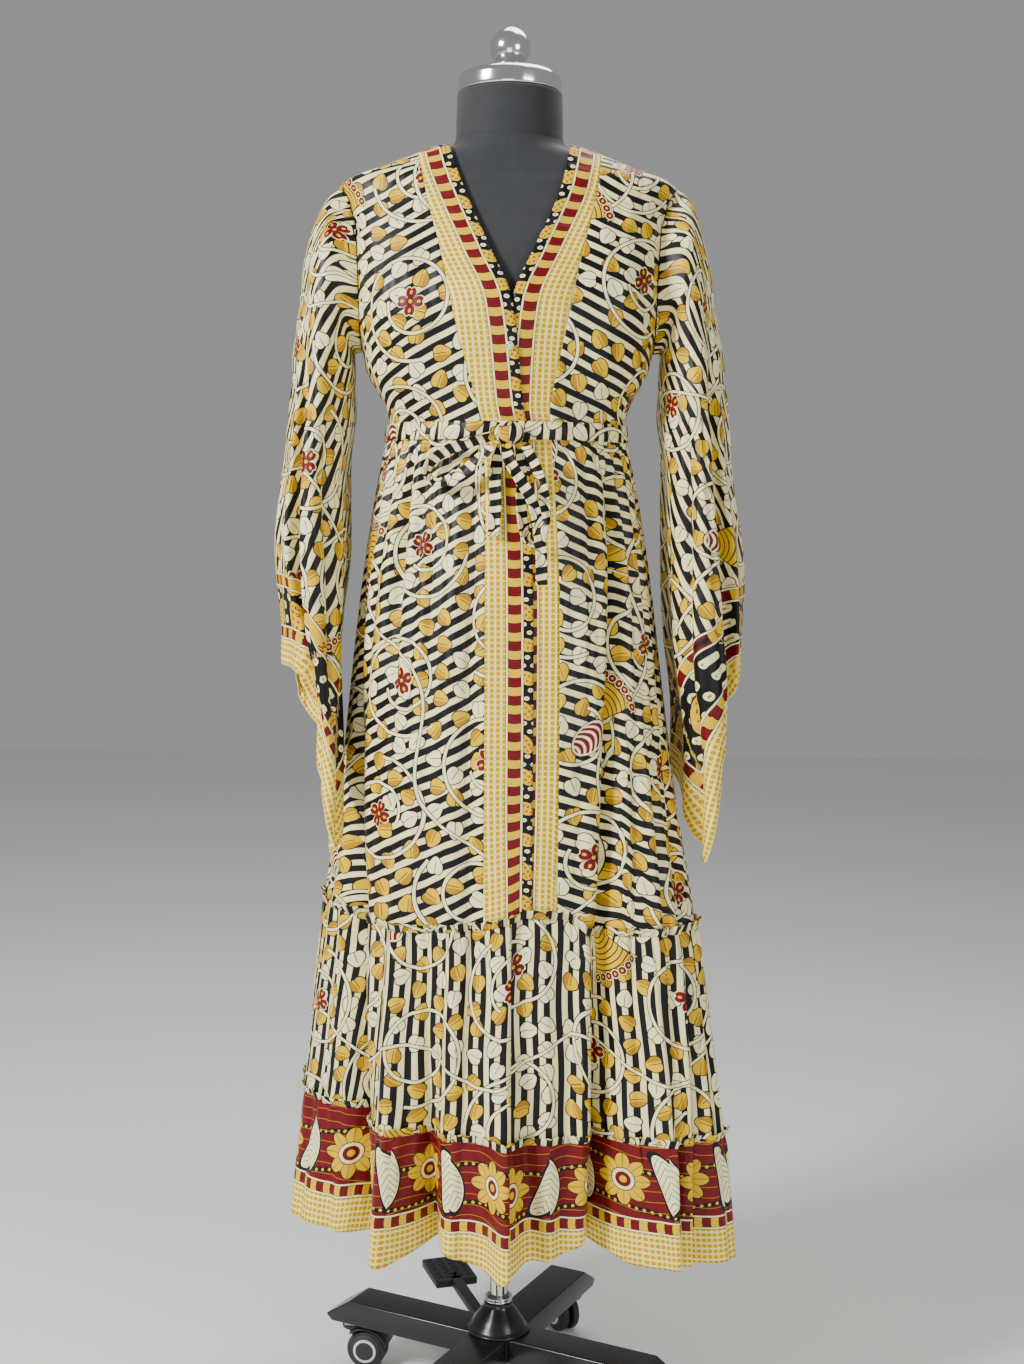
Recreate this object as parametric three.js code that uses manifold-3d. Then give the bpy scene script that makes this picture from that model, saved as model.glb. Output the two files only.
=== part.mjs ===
// Kimono-style wrap robe worn on a limbless dress form with a wheeled, height-adjustable base.
// Millimetres, +Z up. The robe's front faces -Y; +X is on the right when looking at the front.
// A place on the body is given by its angle round the pole (0 = front centre, 90 = +X side,
// 180 = back centre) and its height. "Left" and "right" are as seen from the front.
import * as THREE from 'three';
import { mergeVertices } from 'three/addons/utils/BufferGeometryUtils.js';
import Module from 'manifold-3d';

const wasm = await Module();
wasm.setup();

// ---------------------------------------------------------------- driving dimensions
const CLOTH = 1.5; // thickness of every cloth wall
const SEAM_GAP = 0.3; // between pieces that are sewn or seated together

const WAIST_SEAM = 1165;
const TIER_SEAM = 610;
const HEM_SEAM = 375;
const HEM = 226;

const NECK_TOP = 1551;
const FORM_BOTTOM = 800;
const CAP_RADIUS = 59;
const CAP_HEIGHT = 20;
const BALL_RADIUS = 23.5;

const TUBE_RADIUS = 12.5;
const TUBE_BORE = 11.3;
const ROD_RADIUS = 11;
const TUBE_BOTTOM = 160;
const ROD_TOP = 560;
const PLATE = { radius: 60, height: 7 };
const RING = { radius: 15.2, wire: 1.6 };

const HUB_TOP = 127;
const HUB_RADIUS = 38;
const LEG = { top: 92, bottom: 62, width: 50, reach: 232, slope: 34, angles: [63, 153, 243, 333] };
const CASTER = {
  stemAt: 205, trail: 18, wheelRadius: 25, wheelWidth: 13, gap: 3.4, web: 6, axle: 4, sides: 16,
  trailsTo: [120, -12, 205, 20],
};
const PEDAL = { angle: 108, reach: 215, padLength: 74, padWidth: 56, height: 74 };

// ---------------------------------------------------------------- small helpers
const RAD = Math.PI / 180;
const clamp01 = (value) => Math.min(Math.max(value, 0), 1);
const ease = (value) => clamp01(value) ** 2 * (3 - 2 * clamp01(value));
const mix = (from, to, share) => from + (to - from) * share;
const point = (x, y, z) => new THREE.Vector3(x, y, z);
const steps = (count) => Array.from({ length: count + 1 }, (_, index) => index / count);
const namedRows = ([names, ...rows]) => rows.map((row) => (
  Object.fromEntries(names.map((name, column) => [name, row[column]]))
));

// A table has a row of column names first. Its first column rises or falls steadily.
function readTable(table, at) {
  const [names, ...rows] = table;
  const rising = rows[1][0] > rows[0][0];
  let low = 0;
  while (low < rows.length - 2 && (rising ? at > rows[low + 1][0] : at < rows[low + 1][0])) low += 1;
  const before = rows[Math.max(low - 1, 0)];
  const start = rows[low];
  const end = rows[low + 1];
  const after = rows[Math.min(low + 2, rows.length - 1)];
  const span = end[0] - start[0];
  const t = clamp01((at - start[0]) / span);
  const result = {};
  names.forEach((name, column) => {
    const slopeIn = ((end[column] - before[column]) / (end[0] - before[0])) * span;
    const slopeOut = ((after[column] - start[column]) / (after[0] - start[0])) * span;
    result[name] = (2 * t ** 3 - 3 * t ** 2 + 1) * start[column] + (t ** 3 - 2 * t ** 2 + t) * slopeIn
      + (3 * t ** 2 - 2 * t ** 3) * end[column] + (t ** 3 - t ** 2) * slopeOut;
  });
  return result;
}

// ---------------------------------------------------------------- materials
const finish = (color, roughness, metalness = 0) => (
  new THREE.MeshStandardMaterial({ color, roughness, metalness })
);
const SATIN = finish(0xcbb878, 0.42);
const BAND_CLOTH = finish(0xe0b840, 0.42);
const HEM_CLOTH = finish(0x8c1c22, 0.42);
const FORM_CLOTH = finish(0x101014, 0.9);
const CHROME = finish(0xc8c8cc, 0.12, 1);
const BLACK_PAINT = finish(0x0e0e10, 0.35);
const BLACK_RUBBER = finish(0x151515, 0.7);

const model = new THREE.Group();

function add(parent, name, geometry, material) {
  const mesh = new THREE.Mesh(geometry, material);
  mesh.name = name;
  parent.add(mesh);
  return mesh;
}

// Overlapping closed shapes joined into one.
function joined(geometries) {
  const solids = geometries.map((geometry) => {
    const bare = geometry.clone();
    bare.deleteAttribute('normal');
    bare.deleteAttribute('uv');
    const merged = mergeVertices(bare, 1e-4);
    return new wasm.Manifold(new wasm.Mesh({
      numProp: 3,
      vertProperties: new Float32Array(merged.attributes.position.array),
      triVerts: new Uint32Array(merged.index.array),
    }));
  });
  const whole = solids.reduce((sum, solid) => sum.add(solid)).getMesh();
  const geometry = new THREE.BufferGeometry();
  geometry.setAttribute('position', new THREE.Float32BufferAttribute(whole.vertProperties, 3));
  geometry.setIndex(Array.from(whole.triVerts));
  return geometry;
}

// ---------------------------------------------------------------- cloth walls
// A wall is given by the rows of points on its outer and inner faces, from the top down, each
// running anticlockwise seen from above.
function wall(outer, inner, closed = false) {
  const across = outer[0].length;
  const positions = [...outer.flat(), ...inner.flat()].flatMap((corner) => corner.toArray());
  const inside = outer.length * across;
  const faces = [];
  const quad = (a, b, c, d) => faces.push(a, b, c, a, c, d);
  const spans = closed ? across : across - 1;
  for (let i = 0; i < outer.length - 1; i += 1) {
    for (let j = 0; j < spans; j += 1) {
      const here = i * across + j;
      const next = i * across + ((j + 1) % across);
      quad(here, here + across, next + across, next);
      quad(inside + here, inside + next, inside + next + across, inside + here + across);
    }
  }
  const bottom = (outer.length - 1) * across;
  for (let j = 0; j < spans; j += 1) {
    const next = (j + 1) % across;
    quad(j, next, inside + next, inside + j);
    quad(bottom + next, bottom + j, inside + bottom + j, inside + bottom + next);
  }
  for (let i = 0; i < outer.length - 1 && !closed; i += 1) {
    const here = i * across;
    const end = here + across - 1;
    quad(here, inside + here, inside + here + across, here + across);
    quad(end, end + across, inside + end + across, inside + end);
  }
  const geometry = new THREE.BufferGeometry();
  geometry.setAttribute('position', new THREE.Float32BufferAttribute(positions, 3));
  geometry.setIndex(faces);
  return geometry;
}

// Rows of places become the two faces of a wall: surface(angle, height, out) gives a point.
function clothPanel(rows, surface) {
  const face = (out) => rows.map((row) => row.map((place) => surface(place.angle, place.height, out)));
  return wall(face(0), face(-CLOTH));
}

// A free tube's inner face: its rings moved in along the normals of the rings themselves.
function insideOf(rows, thickness) {
  const last = rows[0].length - 1;
  return rows.map((row, i) => row.map((corner, j) => {
    const above = rows[Math.max(i - 1, 0)][j];
    const below = rows[Math.min(i + 1, rows.length - 1)][j];
    const round = row[(j + 1) % (last + 1)].clone().sub(row[(j + last) % (last + 1)]);
    return corner.clone().addScaledVector(below.clone().sub(above).cross(round).normalize(), -thickness);
  }));
}

// ---------------------------------------------------------------- the form's shape
// Half width, and depth in front of and behind the pole, at each height.
const FORM = [
  ['height', 'half', 'front', 'back'],
  [FORM_BOTTOM, 150, 100, 106],
  [830, 159, 107, 116],
  [950, 163, 110, 124],
  [1050, 147, 102, 108],
  [1165, 124, 88, 86],
  [1230, 131, 99, 91],
  [1300, 151, 117, 101],
  [1357, 163, 103, 103],
  [1404, 174, 83, 99],
  [1434, 184, 71, 87],
  [1446, 188, 67, 80],
  [1453, 177, 64, 74],
  [1463, 147, 62, 71],
  [1470, 126, 61, 68],
  [1478, 104, 60, 66],
  [1488, 72, 59, 62],
  [1497, 62.5, 59, 60],
  [1520, 61, 60, 60],
  [NECK_TOP, 60, 60, 60],
];
const SHOULDER_TIP = 1450.4;

function onForm(angle, height) {
  const ring = readTable(FORM, height);
  const facing = Math.cos(angle * RAD);
  const depth = facing > 0 ? ring.front : ring.back;
  return point(ring.half * Math.sin(angle * RAD), -depth * facing, height);
}

// The same place, moved straight out from the form's surface.
function offForm(angle, height, out) {
  const up = onForm(angle, height + 1).sub(onForm(angle, height - 1));
  const round = onForm(angle + 0.5, height).sub(onForm(angle - 0.5, height));
  const normal = round.cross(up).normalize();
  return onForm(angle, height).addScaledVector(normal, out);
}

function formGeometry() {
  const around = 28;
  const heights = [...FORM.slice(1).map((row) => row[0])].reverse();
  heights.splice(heights.indexOf(950), 0, 1005);
  heights.splice(heights.indexOf(950) + 1, 0, 890);
  const rows = heights.map((height) => (
    Array.from({ length: around }, (_, j) => onForm((j / around) * 360, height))
  ));
  const positions = rows.flat().flatMap((corner) => corner.toArray());
  const faces = [];
  for (let i = 0; i < rows.length - 1; i += 1) {
    for (let j = 0; j < around; j += 1) {
      const here = i * around + j;
      const next = i * around + ((j + 1) % around);
      faces.push(here, here + around, next + around, here, next + around, next);
    }
  }
  const bottom = (rows.length - 1) * around;
  for (let j = 1; j < around - 1; j += 1) {
    faces.push(0, j, j + 1, bottom, bottom + j + 1, bottom + j);
  }
  const geometry = new THREE.BufferGeometry();
  geometry.setAttribute('position', new THREE.Float32BufferAttribute(positions, 3));
  geometry.setIndex(faces);
  return geometry;
}

add(model, 'torso', formGeometry(), FORM_CLOTH);

// ---------------------------------------------------------------- bodice
// How far the bodice's outer face stands off the form, how much further it blouses out at its
// sides, and how square it is in plan, from none to one. It rests on the shoulder lines.
const SEATED = CLOTH + SEAM_GAP;
const BODICE_EASE = [
  ['height', 'out', 'side', 'square'],
  [WAIST_SEAM, 12.5, 0, 0],
  [1180, 12.5, 0.2, 0],
  [1207, 12.7, 5.5, 0.5],
  [1224, 13, 12, 0.9],
  [1241, 13, 16.5, 1],
  [1270, 12.6, 14, 1],
  [1300, 12, 9, 1],
  [1357, 9, 4, 1],
  [1404, 7, 0, 0.7],
  [1434, 6, 0, 0.15],
  [1450, 6, 0, 0],
  [1490, 6, 0, 0],
];
const SQUARE_POWER = 2.8;
function squareScale(angle) {
  const [sideways, facing] = [Math.abs(Math.sin(angle * RAD)), Math.abs(Math.cos(angle * RAD))];
  const scale = (sideways ** SQUARE_POWER + facing ** SQUARE_POWER) ** (-1 / SQUARE_POWER);
  return mix(1, scale, ease((sideways - 0.35) / 0.4));
}
function onBodice(angle, height, out = 0) {
  const shoulder = ease((height - 1395) / 35) * Math.abs(Math.sin(angle * RAD)) ** 20;
  const seated = SEATED + 0.3 + 1.9 * ease((height - 1460) / 12);
  const fit = readTable(BODICE_EASE, height);
  const corner = offForm(angle, height, mix(fit.out, seated, shoulder) + out);
  const scale = mix(1, squareScale(angle), fit.square);
  const x = corner.x * scale + fit.side * Math.sin(angle * RAD) ** 3;
  return point(x, corner.y * scale, height < WAIST_SEAM + 1 ? height : corner.z);
}

// Where the edges of the two front bands run: distances to the +X side of the front centre.
const BAND_EDGES = [
  ['height', 'leftOuter', 'leftInner', 'rightInner', 'rightOuter'],
  [TIER_SEAM, -20, 33, 8, 62],
  [1000, -22, 31, 8, 60],
  [WAIST_SEAM, -25, 24, 1, 50],
  [1200, -33, 18, -3, 49],
  [1306, -62, 5, 5, 70],
  [1356, -73, -17, 26, 81],
  [1404, -86, -38, 47, 93],
  [1434, -93, -50, 58, 99],
  [1460, -99, -60, 64, 102],
  [1478, -104, -66, 68, 104],
  [1488, -104, -70, 70, 104],
];
function bandPlace(edge, height, surface) {
  const across = readTable(BAND_EDGES, height)[edge];
  let [low, high] = [-90, 90];
  for (let halving = 0; halving < 24; halving += 1) {
    const middle = (low + high) / 2;
    if (surface(middle, height).x < across) low = middle;
    else high = middle;
  }
  return { angle: low, height };
}

// The armhole is an oval on the body's side: zero is its top, 180 its lowest point.
const ARMHOLE = { centre: 1357, half: 93.4, opening: 23 };
function armholePlace(turn) {
  const height = ARMHOLE.centre + ARMHOLE.half * Math.cos(turn * RAD);
  return { angle: 90 - ARMHOLE.opening * Math.sin(turn * RAD), height };
}

// The bodice's rows from the shoulder line down. Each row runs from the armhole at "turn", or
// from the side seam at "side" below it, to the front band's edges and to the middle of the back.
const TOP_ANGLE = 89.8; // the shoulder seam, less half its gap
const BODICE_ROWS = namedRows([
  ['turn', 'side', 'inner', 'outer', 'napeAngle', 'nape', 'backCentre'],
  [0, SHOULDER_TIP, 1487.6, 1478, 180 - TOP_ANGLE, 1478, 1452],
  [6, 1448, 1481, 1472, 104, 1471, 1448],
  [14, 1446, 1471, 1463, 113, 1462, 1442],
  [22, 1442, 1457, 1450, 119, 1450, 1434],
  [30, 1437, 1441, 1435, 124, 1437, 1424],
  [60, 1403, 1402, 1398, 124, 1400, 1396],
  [90, 1357, 1358, 1355, 124, 1356, 1356],
  [120, 1311, 1317, 1315, 124, 1313, 1313],
  [150, 1277, 1284, 1283, 124, 1281, 1281],
  [180, 1265, 1262, 1262, 124, 1263, 1263],
  [null, 1232, 1232, 1232, 124, 1232, 1232],
  [null, 1203, 1203, 1203, 124, 1203, 1203],
  [null, 1181, 1181, 1181, 124, 1181, 1181],
  [null, ...Array(3).fill(WAIST_SEAM + SEAM_GAP / 2), 124, ...Array(2).fill(WAIST_SEAM + SEAM_GAP / 2)],
]);

// Places from one edge of a panel to the other, drawn back from a seam by half its gap.
function placesBetween(from, to, count, surface, seams = [true, true]) {
  const at = (share) => ({
    angle: mix(from.angle, to.angle, share),
    height: mix(from.height, to.height, share),
  });
  const pointAt = (share) => surface(at(share).angle, at(share).height, 0);
  const step = 1 / count;
  const back = (edge, next) => (SEAM_GAP / 2 / pointAt(edge).distanceTo(pointAt(next))) * step;
  return steps(count).map((share, index) => {
    if (index === 0 && seams[0]) return at(back(0, step));
    if (index === count && seams[1]) return at(1 - back(1, 1 - step));
    return at(share);
  });
}

function sidePlace(row) {
  if (row.turn === null) return { angle: 90, height: row.side };
  return row.turn === 0 ? { angle: TOP_ANGLE, height: SHOULDER_TIP } : armholePlace(row.turn);
}
const mirrored = (place) => ({ angle: -place.angle, height: place.height });
function bodiceBandPlace(row, edge, height) {
  const sign = edge.startsWith('right') ? 1 : -1;
  if (row.turn === 0) return { angle: TOP_ANGLE * sign, height };
  return bandPlace(edge, height, onBodice);
}

// The right front passes under the left one, so it lies further in below the crossing.
const UNDER = 2.4;
const tuckedUnder = (across) => -UNDER * (1 - ease((across - 36) / 24));
function onRightBodice(angle, height, out) {
  const crossed = ease((1350 - height) / 40);
  return onBodice(angle, height, out + crossed * tuckedUnder(onBodice(angle, height).x));
}

const leftFront = BODICE_ROWS.map((row) => placesBetween(
  mirrored(sidePlace(row)), bodiceBandPlace(row, 'leftOuter', row.outer), 6, onBodice,
));
const rightFront = BODICE_ROWS.map((row) => placesBetween(
  bodiceBandPlace(row, 'rightOuter', row.outer), sidePlace(row), 6, onRightBodice,
));
const back = BODICE_ROWS.map((row) => {
  const side = { angle: 180 - sidePlace(row).angle, height: sidePlace(row).height };
  const nape = { angle: row.napeAngle, height: row.nape };
  const centre = { angle: 180, height: row.backCentre };
  const half = [
    ...placesBetween(side, nape, 3, onBodice, [true, false]).slice(0, -1),
    ...placesBetween(nape, centre, 4, onBodice, [false, false]),
  ];
  const otherHalf = half.slice(0, -1).reverse()
    .map((place) => ({ angle: 360 - place.angle, height: place.height }));
  return [...half, ...otherHalf];
});
add(model, 'bodice_front_left', clothPanel(leftFront, onBodice), SATIN);
add(model, 'bodice_front_right', clothPanel(rightFront, onRightBodice), SATIN);
add(model, 'bodice_back', clothPanel(back, onBodice), SATIN);

// The band behind the neck, from one shoulder line to the other.
const neckBand = steps(3).map((drop) => steps(8).map((share) => {
  const low = mix(1478, 1452, 1 - Math.abs(2 * share - 1)) + 2 * SEAM_GAP;
  return { angle: mix(180 - TOP_ANGLE, 180 + TOP_ANGLE, share), height: mix(1487.6, low, drop) };
}));
add(model, 'band_neck', clothPanel(neckBand, onBodice), BAND_CLOTH);

// ---------------------------------------------------------------- skirt, tier and hem band
// The skirt's sides swing, the right one forward and the left one back.
const SKIRT = [
  ['height', 'half', 'front', 'back', 'swing'],
  [HEM, 256, 132, 150, 96],
  [HEM_SEAM, 244, 148, 160, 112],
  [TIER_SEAM, 217, 152, 164, 78],
  [750, 196, 147, 160, 46],
  [880, 181, 138, 154, 18],
  [1000, 167, 125, 141, 4],
  [1090, 152, 112, 122, 0],
  [WAIST_SEAM, 136.5, 100.5, 98.5, 0],
];

// The main folds, in degrees round the pole at the waist, the tier seam and the hem, with their
// half width at the hem and their depth below the waist, at the two seams and at the hem.
// A fold that stands out has a positive depth.
const FOLDS = namedRows([
  ['waistAt', 'tierAt', 'hemAt', 'width', 'waistDeep', 'tierDeep', 'seamDeep', 'hemDeep'],
  [-88, -52, -42, 20, 0, -20, -46, -70],
  [-51, -33, -30, 17, -6, 6, 18, 30],
  [-30, -21, -20.5, 16, 0, -9, -28, -48],
  [-14, -9.5, -9, 14, -4, -6, -3, -4],
  [0, 0, 2, 17, 0, 3, 26, 50],
  [10, 12, 12.7, 12, 0, 3, 6, 10],
  [55, 33, 28.5, 15, -7, -20, -44, -66],
  [72, 50, 46, 20, 0, 6, 16, 24],
  [86, 74, 68, 16, -3, -10, -24, -34],
  [96, 92, 90, 22, 0, 5, 10, 16],
  [118, 113, 110, 17, -4, -12, -28, -40],
  [134, 131, 129, 20, 0, 5, 13, 20],
  [150, 151, 152, 18, -6, -14, -32, -48],
  [170, 171, 172, 22, 2, 6, 14, 22],
  [189, 191, 192, 15, -5, -12, -26, -38],
  [208, 209, 211, 20, 0, 6, 14, 22],
  [228, 229, 229, 18, -5, -14, -34, -50],
  [246, 244, 242, 22, 0, 7, 18, 28],
  [262, 262, 262, 16, -3, -7, -16, -22],
  [282, 290, 294, 20, 0, 5, 12, 18],
]);
const TIER_SHARE = (WAIST_SEAM - TIER_SEAM) / (WAIST_SEAM - HEM);
const wrapped = (angle) => ((((angle + 180) % 360) + 360) % 360) - 180;

function foldDepth(angle, height, ring, depth) {
  const down = clamp01((WAIST_SEAM - height) / (WAIST_SEAM - HEM));
  const lengthPerDegree = RAD * Math.hypot(ring.half * Math.cos(angle * RAD), depth * Math.sin(angle * RAD));
  let total = 0;
  for (const fold of FOLDS) {
    const at = down < TIER_SHARE
      ? mix(fold.waistAt, fold.tierAt, down / TIER_SHARE)
      : mix(fold.tierAt, fold.hemAt, (down - TIER_SHARE) / (1 - TIER_SHARE));
    const { deep } = readTable([
      ['height', 'deep'],
      [WAIST_SEAM, 0],
      [WAIST_SEAM - 20, 0],
      [WAIST_SEAM - 80, fold.waistDeep],
      [TIER_SEAM, fold.tierDeep],
      [HEM_SEAM, fold.seamDeep],
      [HEM, fold.hemDeep],
    ], height);
    const away = Math.abs(wrapped(angle - at)) * lengthPerDegree;
    total += deep * Math.exp(-((away / (fold.width * mix(0.55, 1, down))) ** 2));
  }
  return total;
}

// Gathers are waves round the body, uneven from one to the next, and still where the fronts overlap.
const GATHERS = {
  skirt: {
    count: 28, seed: 0.4, size: [[WAIST_SEAM, 0], [1150, 0.2], [1120, 3.4], [950, 1.2], [TIER_SEAM, 0.6]],
  },
  tier: { count: 32, seed: 1.7, size: [[TIER_SEAM, 1.4], [TIER_SEAM - 40, 3.4], [HEM_SEAM, 2.6]] },
  hem: { count: 36, seed: 2.9, size: [[HEM_SEAM, 1.4], [HEM_SEAM - 35, 3.4], [HEM, 3.6]] },
};
function gatherDepth(wave, angle, height, across) {
  const round = angle * RAD;
  const uneven = Math.sin(round * 5 + wave.seed) * 0.8 + Math.sin(round * 11 + wave.seed * 2) * 0.4;
  const strength = 0.75 + 0.25 * Math.sin(round * 7 + wave.seed * 3);
  const still = Math.cos(round) > 0 ? ease((Math.abs(across - 20) - 42) / 30) : 1;
  return readTable([['height', 'size'], ...wave.size], height).size * strength * still
    * Math.cos(round * wave.count + uneven);
}

function onSkirtRing(angle, height, wave, under) {
  const ring = readTable(SKIRT, height);
  const facing = Math.cos(angle * RAD);
  const sideways = Math.sin(angle * RAD);
  const depth = facing > 0 ? ring.front : ring.back;
  const across = ring.half * sideways;
  const push = foldDepth(angle, height, ring, depth) + gatherDepth(wave, angle, height, across)
    + under(across, angle, facing);
  const forward = (depth + push) * facing + ring.swing * sideways ** 3;
  return point((ring.half + push) * sideways, -forward, height);
}

// A surface of the skirt, tier or hem band, moved out level along its own normal.
function skirtSurface(wave, under = () => 0) {
  return (angle, height, out) => {
    const corner = onSkirtRing(angle, height, wave, under);
    if (!out) return corner;
    const next = onSkirtRing(angle + 0.7, height, wave, under);
    const round = next.sub(onSkirtRing(angle - 0.7, height, wave, under));
    return corner.addScaledVector(point(round.y, -round.x, 0).normalize(), out);
  };
}
const onSkirt = skirtSurface(GATHERS.skirt);
const onRightSkirt = skirtSurface(GATHERS.skirt, (across, angle, facing) => (
  facing > 0 ? tuckedUnder(across) : 0
));
const onTier = skirtSurface(GATHERS.tier);
const onRightTier = skirtSurface(GATHERS.tier, (across, angle) => -5 * (1 - ease((angle - 4) / 8)));
const onHem = skirtSurface(GATHERS.hem);
const onRightHem = skirtSurface(GATHERS.hem, (across, angle) => -9 * (1 - ease((angle - 4) / 8)));

const atAngle = (angle) => (height) => ({ angle, height });
const skirtBase = (angle, height) => point(readTable(SKIRT, height).half * Math.sin(angle * RAD), 0, height);
const atEdge = (edge) => (height) => bandPlace(edge, height, skirtBase);
const rowsBetween = (heights, from, to, count, surface, seams) => (
  heights.map((height) => placesBetween(from(height), to(height), count, surface, seams))
);
const SKIRT_HEIGHTS = [WAIST_SEAM - SEAM_GAP / 2, 1142, 1112, 1050, 960, 850, 730, TIER_SEAM + SEAM_GAP / 2];
const TIER_HEIGHTS = [TIER_SEAM - SEAM_GAP / 2, 565, 470, HEM_SEAM + SEAM_GAP / 2];
const HEM_HEIGHTS = [HEM_SEAM - SEAM_GAP / 2, 325, HEM];

function addPanel(name, heights, from, to, count, surface, material) {
  add(model, name, clothPanel(rowsBetween(heights, from, to, count, surface), surface), material);
}
addPanel('skirt_front_left', SKIRT_HEIGHTS, atAngle(-90), atEdge('leftOuter'), 22, onSkirt, SATIN);
addPanel('skirt_front_right', SKIRT_HEIGHTS, atEdge('rightOuter'), atAngle(90), 20, onRightSkirt, SATIN);
addPanel('skirt_back', SKIRT_HEIGHTS, atAngle(90), atAngle(270), 44, onSkirt, SATIN);

// Tier and hem band share their columns where the fronts overlap, so that the layers stay parted.
const TIER_STEP = 360 / 128;
const HEM_STEP = 360 / 144;
addPanel('tier_front_left', TIER_HEIGHTS, atAngle(-90), atAngle(TIER_STEP), 33, onTier, SATIN);
addPanel('tier_front_right', TIER_HEIGHTS, atAngle(-2 * TIER_STEP), atAngle(90), 34, onRightTier, SATIN);
addPanel('tier_back', TIER_HEIGHTS, atAngle(90), atAngle(270), 64, onTier, SATIN);
addPanel('hem_front_left', HEM_HEIGHTS, atAngle(-90), atAngle(HEM_STEP), 37, onHem, HEM_CLOTH);
addPanel('hem_front_right', HEM_HEIGHTS, atAngle(-2 * HEM_STEP), atAngle(90), 38, onRightHem, HEM_CLOTH);
addPanel('hem_back', HEM_HEIGHTS, atAngle(90), atAngle(270), 72, onHem, HEM_CLOTH);

// Each front band runs from the shoulder line to the tier seam in one piece.
function addBand(name, from, to, seams, bodiceSurface, skirtWall) {
  const top = BODICE_ROWS.map((row) => placesBetween(
    bodiceBandPlace(row, from, row[from.endsWith('Inner') ? 'inner' : 'outer']),
    bodiceBandPlace(row, to, row[to.endsWith('Inner') ? 'inner' : 'outer']),
    3, bodiceSurface, seams,
  ));
  const low = rowsBetween(SKIRT_HEIGHTS, atEdge(from), atEdge(to), 3, skirtWall, seams);
  const surface = (angle, height, out) => (
    (height > WAIST_SEAM ? bodiceSurface : skirtWall)(angle, height, out)
  );
  add(model, name, clothPanel([...top, ...low], surface), BAND_CLOTH);
}
addBand('band_left', 'leftOuter', 'leftInner', [true, false], onBodice, onSkirt);
addBand('band_right', 'rightInner', 'rightOuter', [false, true], onRightBodice, onRightSkirt);

// ---------------------------------------------------------------- sleeves
// A sleeve leaves the armhole and hangs down. Each row: how far its ring has turned from
// upright to level, where its centre is, its half sizes, its folds' depth, and how far its
// front is turned in towards the body.
const SLEEVE_RINGS = {
  left: namedRows([
    ['turn', 'centre', 'height', 'across', 'deep', 'notch', 'twist'],
    [11, 193, 1342, 87.7, 60, 0, 0],
    [20, 202, 1309, 79, 64, 0, 0],
    [31, 207, 1267, 61, 68, 3, 0],
    [45, 210, 1229, 48.5, 73, 8, 0],
    [68, 214.5, 1175, 38, 78, 14, 0],
    [90, 221, 1105, 38.5, 82, 20, 2],
    [90, 224, 1020, 42, 86, 24, 6],
    [90, 227, 930, 37, 90, 22, 14],
    [90, 225, 840, 32, 92, 18, 25],
  ]),
  right: namedRows([
    ['turn', 'centre', 'height', 'across', 'deep', 'notch', 'twist'],
    [11, 193.5, 1343, 88, 60, 0, 0],
    [21, 201, 1304, 74, 64, 0, 0],
    [36, 207, 1257, 56, 68, 3, 0],
    [55, 212, 1216, 45, 73, 9, 0],
    [79, 217.5, 1162, 39, 78, 16, 0],
    [90, 222, 1105, 40, 82, 24, 0],
    [90, 228, 1020, 44, 86, 28, 0],
    [90, 233, 930, 44, 90, 26, 0],
    [90, 238, 840, 38, 90, 22, -4],
  ]),
};
// The height of the hem round the sleeve: zero is the outer side, 90 the front, 180 the body's side.
const SLEEVE_HEM = {
  left: [
    ['round', 'height'],
    [-180, 790], [-150, 800], [-90, 845], [-40, 894], [0, 896], [30, 888], [46, 858],
    [60, 806], [75, 764], [92, 720], [112, 694], [128, 690], [146, 716], [164, 760], [180, 790],
  ],
  right: [
    ['round', 'height'],
    [-180, 770], [-150, 785], [-90, 846], [-40, 892], [0, 888], [34, 880], [56, 840],
    [74, 782], [92, 716], [108, 682], [128, 704], [154, 748], [180, 770],
  ],
};
const SLEEVE_COLUMNS = 32;
const SLEEVE_FREE_RINGS = 6;
const columnTurns = Array.from({ length: SLEEVE_COLUMNS }, (_, j) => (j / SLEEVE_COLUMNS) * 360);

function sleeveRing(row, sign) {
  return columnTurns.map((turn) => {
    const toOutside = Math.cos(turn * RAD);
    const toFront = Math.sin(turn * RAD);
    const front = row.notch * Math.exp(-((wrapped(turn - 50) / 13) ** 2));
    const rear = row.notch * 0.6 * Math.exp(-((wrapped(turn + 62) / 16) ** 2));
    const ripple = (row.notch / 9) * Math.cos(turn * RAD * 7 + 1);
    const across = (row.across + ripple) * toOutside - (front + rear) * 0.55;
    const deep = (row.deep + ripple) * toFront - (front - rear) * 0.9;
    const lean = row.turn * RAD;
    const outward = row.centre + across * Math.sin(lean) - row.twist * toFront;
    return point(sign * outward, -deep, row.height + across * Math.cos(lean));
  });
}

// The sleeve's head follows the armhole's edge, side by side with it.
function sleeveHead(sign) {
  const turns = BODICE_ROWS.filter((row) => row.turn !== null).map((row) => row.turn);
  const loop = [...turns, ...turns.slice(1, -1).reverse().map((turn) => 360 - turn), 360];
  return columnTurns.map((turn) => {
    const next = loop.findIndex((mark) => mark > turn);
    const [low, high] = [loop[next - 1], loop[next]];
    const [start, end] = [low, high].map((mark) => {
      const place = armholePlace(mark);
      return onBodice(sign * place.angle, place.height);
    });
    return start.lerp(end, (turn - low) / (high - low)).add(point(sign * (SEAM_GAP + 0.6), 0, 0));
  });
}

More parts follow.
